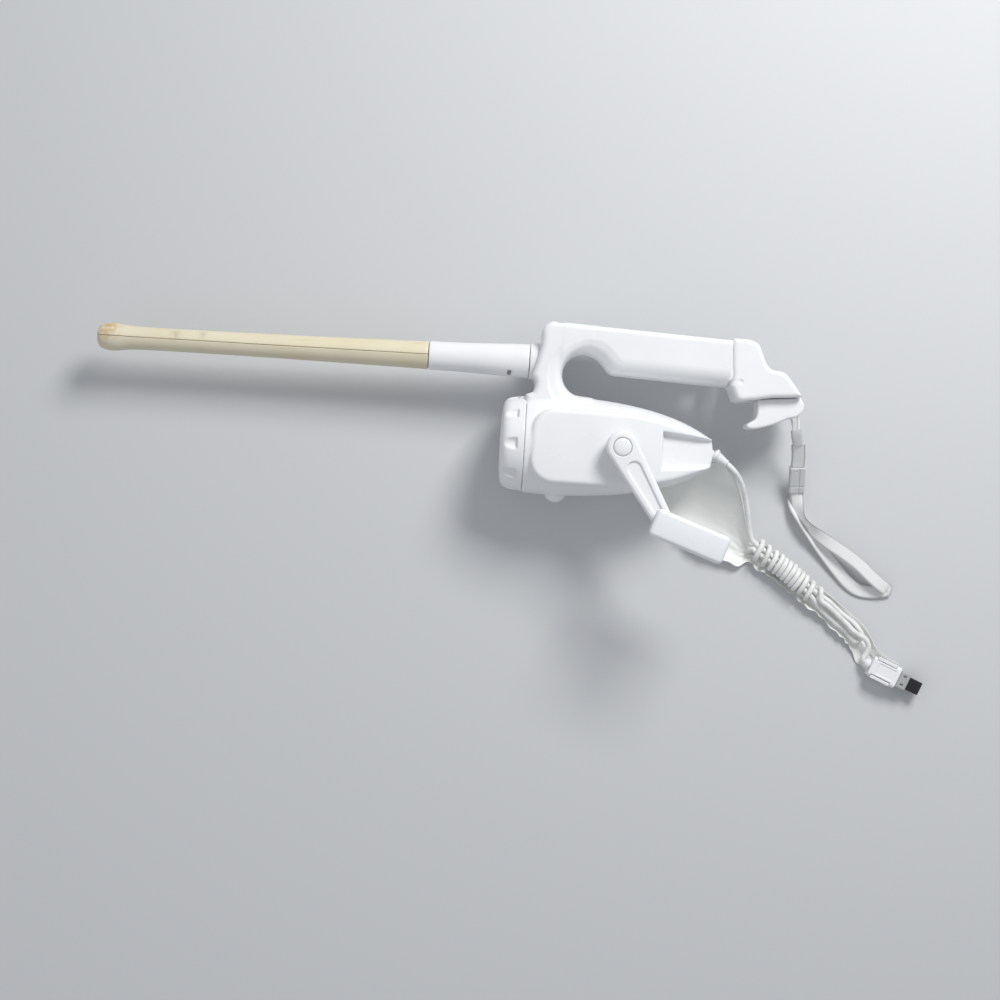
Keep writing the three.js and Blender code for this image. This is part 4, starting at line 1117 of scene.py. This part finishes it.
# %% Strap cord and webbing
def webbing_cloth():
    finish = Finish("webbing", (0.86, 0.865, 0.86), 0.8, Sheen_Weight=0.25)
    uv = finish.node("ShaderNodeTexCoord").outputs["UV"]
    split = finish.nodes.new("ShaderNodeSeparateXYZ")
    finish.links.new(uv, split.inputs[0])
    across, along = split.outputs[0], split.outputs[1]
    ribs = finish.math("SINE", finish.math("MULTIPLY", along, 2 * math.pi / 0.9))
    warp = finish.math("SINE", finish.math("MULTIPLY", across, 2 * math.pi * 9))
    weave = finish.math("MULTIPLY_ADD", finish.math("MULTIPLY", ribs, warp), 0.5)
    finish.nodes[-1].inputs[2].default_value = 0.5
    edge = finish.math("ABSOLUTE", finish.math("SUBTRACT", across, 0.5))
    finish.tint((0.42, 0.42, 0.41), finish.ramp(edge, 0.37, 0.42, 0.0, 0.8))
    # The weave's low places, the same ones the bump sinks, are painted darker as shade in its hollows.
    finish.tint((0.55, 0.56, 0.55), finish.ramp(weave, 0.1, 0.5, 0.25, 0.0))
    finish.bump(weave, 0.16, 0.8)
    finish.bump(finish.noise(1800, 2), 0.03)
    return finish.material


webbing = webbing_cloth()
STRAP_W = 11.0
STRAP_CORD_D = 1.8
cord_line = smooth_path([[140.2, 22.6, 37.0], [139.4, 26, 37.4], [137.6, 31, 38], [136.1, 35.4, 38],
                         [136.2, 38.4, 38], [137.4, 40.0, 38], [139, 40.5, 38], [140.6, 40.0, 38],
                         [141.9, 38.4, 38], [142.1, 35.4, 38], [143, 31, 38], [143.6, 26, 37.5],
                         [143.4, 22.6, 36.8]], 6)
strap_cord = tube_curve("strap_cord_skin", even_steps(cord_line, 0.5), STRAP_CORD_D, cable_white)
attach(strap_cord, "root")
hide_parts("strap_cord")

# a ribbon: place, and roll in degrees about its own line
RIBBON = [[145.3, 12.6, 31, 8], [147.2, 4, 24.5, 4], [148.3, -5, 17.8, 0], [149.4, -15, 12.8, 0],
          [150.2, -25, 9.2, 0], [151.2, -31, 7.6, 14], [152.9, -38.5, 7.2, 42], [156.4, -46, 7.6, 66],
          [162.2, -52.6, 8.4, 62], [170.6, -59.6, 9, 30], [181.5, -66.5, 9.4, 8],
          [194.2, -74.2, 9.6, 0], [205.4, -82, 9.4, -4], [214.6, -90, 8.8, -6],
          [222.6, -96.2, 7.6, -4], [228.2, -100.0, 5.6, 0], [229.4, -101.0, 3.4, 0],
          [226.4, -102.4, 1.9, 0], [218, -103.6, 1.6, -3], [207.6, -102.6, 1.6, -4], [198.2, -97, 1.7, -2],
          [188.6, -87, 2.0, 4], [178.6, -75.6, 2.4, 14], [169.4, -65.2, 3.0, 30], [161, -56.6, 4.2, 52],
          [154.6, -48.2, 4.4, 58], [150.4, -39, 3.6, 34], [149.0, -31, 3.6, 10], [149.4, -25.4, 4.8, 0]]
ribbon_line = even_steps(smooth_path(RIBBON, 8), 0.9)


def swept(name, line, section, material, replaces=(), body="root"):
    """Sweeps a closed section along x, y, z, roll; UV is (share of the section's width, mm along)."""
    p = line[:, :3]
    tangent = np.gradient(p, axis=0)
    tangent /= np.linalg.norm(tangent, axis=1)[:, None]
    flat = np.cross(np.array([0, 0, 1.0]), tangent)
    flat[np.linalg.norm(flat, axis=1) < 1e-3] = (1, 0, 0)
    for i in range(1, len(flat)):
        if flat[i] @ flat[i - 1] < 0:
            flat[i] *= -1
    flat /= np.linalg.norm(flat, axis=1)[:, None]
    up = np.cross(tangent, flat)
    roll = np.radians(line[:, 3])[:, None]
    side = flat * np.cos(roll) + up * np.sin(roll)
    top = np.cross(tangent, side)
    u, v = np.asarray(section).T
    points = (p[:, None] + side[:, None] * u[None, :, None] + top[:, None] * v[None, :, None]).reshape(-1, 3)
    rings, sides = len(p), len(section)
    index = np.arange(rings * sides).reshape(rings, sides)
    beside = np.roll(index, -1, axis=1)
    faces = np.stack((index[:-1], beside[:-1], beside[1:], index[1:]), -1).reshape(-1, 4).tolist()
    faces += [index[0][::-1].tolist(), index[-1].tolist()]
    obj = outward(add_mesh(name, points, faces, material, body, replaces, angle=50))
    along = np.concatenate(([0], np.cumsum(np.linalg.norm(np.diff(p, axis=0), axis=1))))
    layer = obj.data.uv_layers.new(name="along")
    width = max(u) - min(u)
    for loop, data in zip(obj.data.loops, layer.data):
        ring, k = divmod(loop.vertex_index, sides)
        data.uv = ((u[k] - min(u)) / width, along[ring])
    return obj


half = STRAP_W / 2
under = [(-half, -0.4), (-half + 0.35, -0.65), (-half * 0.5, -0.65), (0, -0.65), (half * 0.5, -0.65),
         (half - 0.35, -0.65), (half, -0.4)]
flat_section = under + [(u, -v) for u, v in under[::-1]]
strap = swept("strap_webbing_skin", ribbon_line, flat_section, webbing, ("strap_webbing", "strap_loop"))
print("webbing:", round(path_length(ribbon_line)), "mm long")

# %% Ferrule and slider
ferrule_line = even_steps(smooth_path([[141.8, 24.2, 37.2, 0], [142.3, 22, 36.6, 0], [142.9, 19, 35.2, 0],
                                       [144, 15.8, 33.2, 0], [145.2, 12.8, 31.2, 0]], 6), 0.6)
fuller = lambda share: math.copysign(abs(share) ** 0.7, share)
oval = [(4.3 * fuller(math.cos(a)), 2.3 * fuller(math.sin(a)))
        for a in np.linspace(0, 2 * math.pi, 28, endpoint=False)]
ferrule = swept("strap_ferrule_skin", ferrule_line, oval, slider_grey, ("strap_ferrule",))

slider_start, slider_end = np.array([148.3, -5, 17.8]), np.array([150.1, -25, 7.7])
slider_u = (slider_end - slider_start) / np.linalg.norm(slider_end - slider_start)
slider_v = np.cross([0, 0, 1.0], slider_u)
slider_v /= np.linalg.norm(slider_v)
slider_h = np.cross(slider_u, slider_v)
SLIDER_LENGTH = float(np.linalg.norm(slider_end - slider_start))


def strap_slider(u, v, h):
    body = meet(rounded_box(v, h, 6.3, 3.5, 1.2), slab(u, 0, SLIDER_LENGTH), 0.6)
    body = cut(body, meet(np.abs(v) - 5.2, np.abs(h) - 1.9), 0.2)
    body = cut(body, meet(np.abs(v - 1.2) - 0.45, 2.9 - h), 0.1)
    for place in (3.2, SLIDER_LENGTH - 3.2):
        body = cut(body, np.hypot(np.hypot(u - place, v + 1.4), h - 3.7) - 0.7, 0.05)
    return cut(body, meet(slab(u, SLIDER_LENGTH - 6, SLIDER_LENGTH - 5.3), 3.1 - np.abs(h)), 0.1)


points, faces = field_mesh(strap_slider, (-0.8, -7.2, -4.3), (SLIDER_LENGTH + 0.8, 7.2, 4.3), 0.4)
points = slider_start + points @ np.array([slider_u, slider_v, slider_h])
slider = outward(add_mesh("strap_slider_skin", points, faces, slider_grey, replaces=("strap_slider",)))
print("strap ready")

# %% [markdown]
# ## What repeats: the screws
# Six equal screws hold the shells. Geometry Nodes is made for this: a mesh whose vertices are the
# places goes in, each vertex gets an instance of one item, turned by its own attribute, and the
# result becomes a plain mesh. The item is a field, with a cross recess in its head.

# %% Instancing tree
def instancing_tree():
    tree = bpy.data.node_groups.new("instances_on_places", "GeometryNodeTree")
    for name, way, kind in (("Places", "INPUT", "Geometry"), ("Item", "INPUT", "Object"),
                            ("Size", "INPUT", "Float"), ("Finish", "INPUT", "Material"),
                            ("Geometry", "OUTPUT", "Geometry")):
        tree.interface.new_socket(name, in_out=way, socket_type="NodeSocket" + kind)
    source, result = tree.nodes.new("NodeGroupInput"), tree.nodes.new("NodeGroupOutput")
    spots = tree.nodes.new("GeometryNodeMeshToPoints")
    item = tree.nodes.new("GeometryNodeObjectInfo")
    turn = tree.nodes.new("GeometryNodeInputNamedAttribute")
    turn.data_type = "FLOAT_VECTOR"
    turn.inputs["Name"].default_value = "turn"
    place = tree.nodes.new("GeometryNodeInstanceOnPoints")
    real = tree.nodes.new("GeometryNodeRealizeInstances")
    paint = tree.nodes.new("GeometryNodeSetMaterial")
    join = tree.links.new
    join(source.outputs["Places"], spots.inputs["Mesh"])
    join(source.outputs["Item"], item.inputs["Object"])
    join(spots.outputs["Points"], place.inputs["Points"])
    join(item.outputs["Geometry"], place.inputs["Instance"])
    join(turn.outputs["Attribute"], place.inputs["Rotation"])
    join(source.outputs["Size"], place.inputs["Scale"])
    join(place.outputs["Instances"], real.inputs["Geometry"])
    join(real.outputs["Geometry"], paint.inputs["Geometry"])
    join(source.outputs["Finish"], paint.inputs["Material"])
    join(paint.outputs["Geometry"], result.inputs["Geometry"])
    return tree


TREE = instancing_tree()


def repeated(name, places, turns, item, size, material):
    """One plain mesh with the item at every place, turned by its Euler angles."""
    mesh = bpy.data.meshes.new(name + "_places")
    mesh.from_pydata([tuple(c * MM for c in p) for p in places], [], [])
    turn = mesh.attributes.new("turn", "FLOAT_VECTOR", "POINT")
    turn.data.foreach_set("vector", np.asarray(turns, float).ravel())
    carrier = new_object(name + "_places", mesh)
    modifier = carrier.modifiers.new("instances", "NODES")
    modifier.node_group = TREE
    sockets = {s.name: s.identifier for s in TREE.interface.items_tree if s.in_out == "INPUT"}
    modifier[sockets["Item"]] = item
    modifier[sockets["Size"]] = size
    modifier[sockets["Finish"]] = material
    made = plain_copy(name, carrier, item)
    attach(made, "root")
    return made


# %% Screws
def screw_field(x, y, z):
    around = np.hypot(x, y)
    head = meet(meet(around - 3, -2.6 - z, 0.5), z + 0.4, 0.2)
    shank = meet(around - 1.35, meet(z - 30, -1.6 - z), 0.5)
    body = union(head, shank, 0.2)
    cross = union(meet(np.abs(x) - 0.45, np.abs(y) - 1.9), meet(np.abs(y) - 0.45, np.abs(x) - 1.9))
    return cut(body, meet(cross, z + 1.4), 0.1)


points, faces = field_mesh(screw_field, (-3.6, -3.6, -3.2), (3.6, 3.6, 31), (0.3, 0.3, 0.6),
                           ((), (), (-2.6, -2.3, -1.6, -1.2, -0.5)))
screw = add_mesh("screw_item", points, faces, steel, body=None)
screws = repeated("shell_screws", [(x, y, MID + head) for x, y, head in SCREWS],
                  [(0, 0, 0.9 * i) for i in range(len(SCREWS))], screw, 1.0, steel)
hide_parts(*[f"shell_screw_{i + 1}" for i in range(len(SCREWS))])
print("screws:", len(screws.data.polygons), "faces")

# %% [markdown]
# ## Parts inside
# Gears, bushes, springs and the board already have their right shape in the CAD model, so they keep
# their meshes and only get a finish. Each finish is matched to what the part would be made of.

# %% Finishes for the parts that keep their CAD mesh
KEPT = ((grey_plastic, ["rod_spigot"]),
        (white_matte, ["knob_lid", "gear_plate", "gear_bridge"]),
        (black_plastic, ["button_switch", "encoder_wheel", "encoder_sensor", "motion_sensor"]),
        (steel, ["crank_axle", "knob_pin", "pinion_shaft", "click_spring", "strap_post"]),
        (acetal, ["bayonet_ring", "drive_gear", "knob_washer", "axle_bush_near", "axle_bush_far", "pinion"]),
        (board_green, ["circuit_board"]))
for material, names in KEPT:
    for name in names:
        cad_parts[name].data.materials.clear()
        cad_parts[name].data.materials.append(material)
print("kept CAD parts:", sum(len(names) for _, names in KEPT))
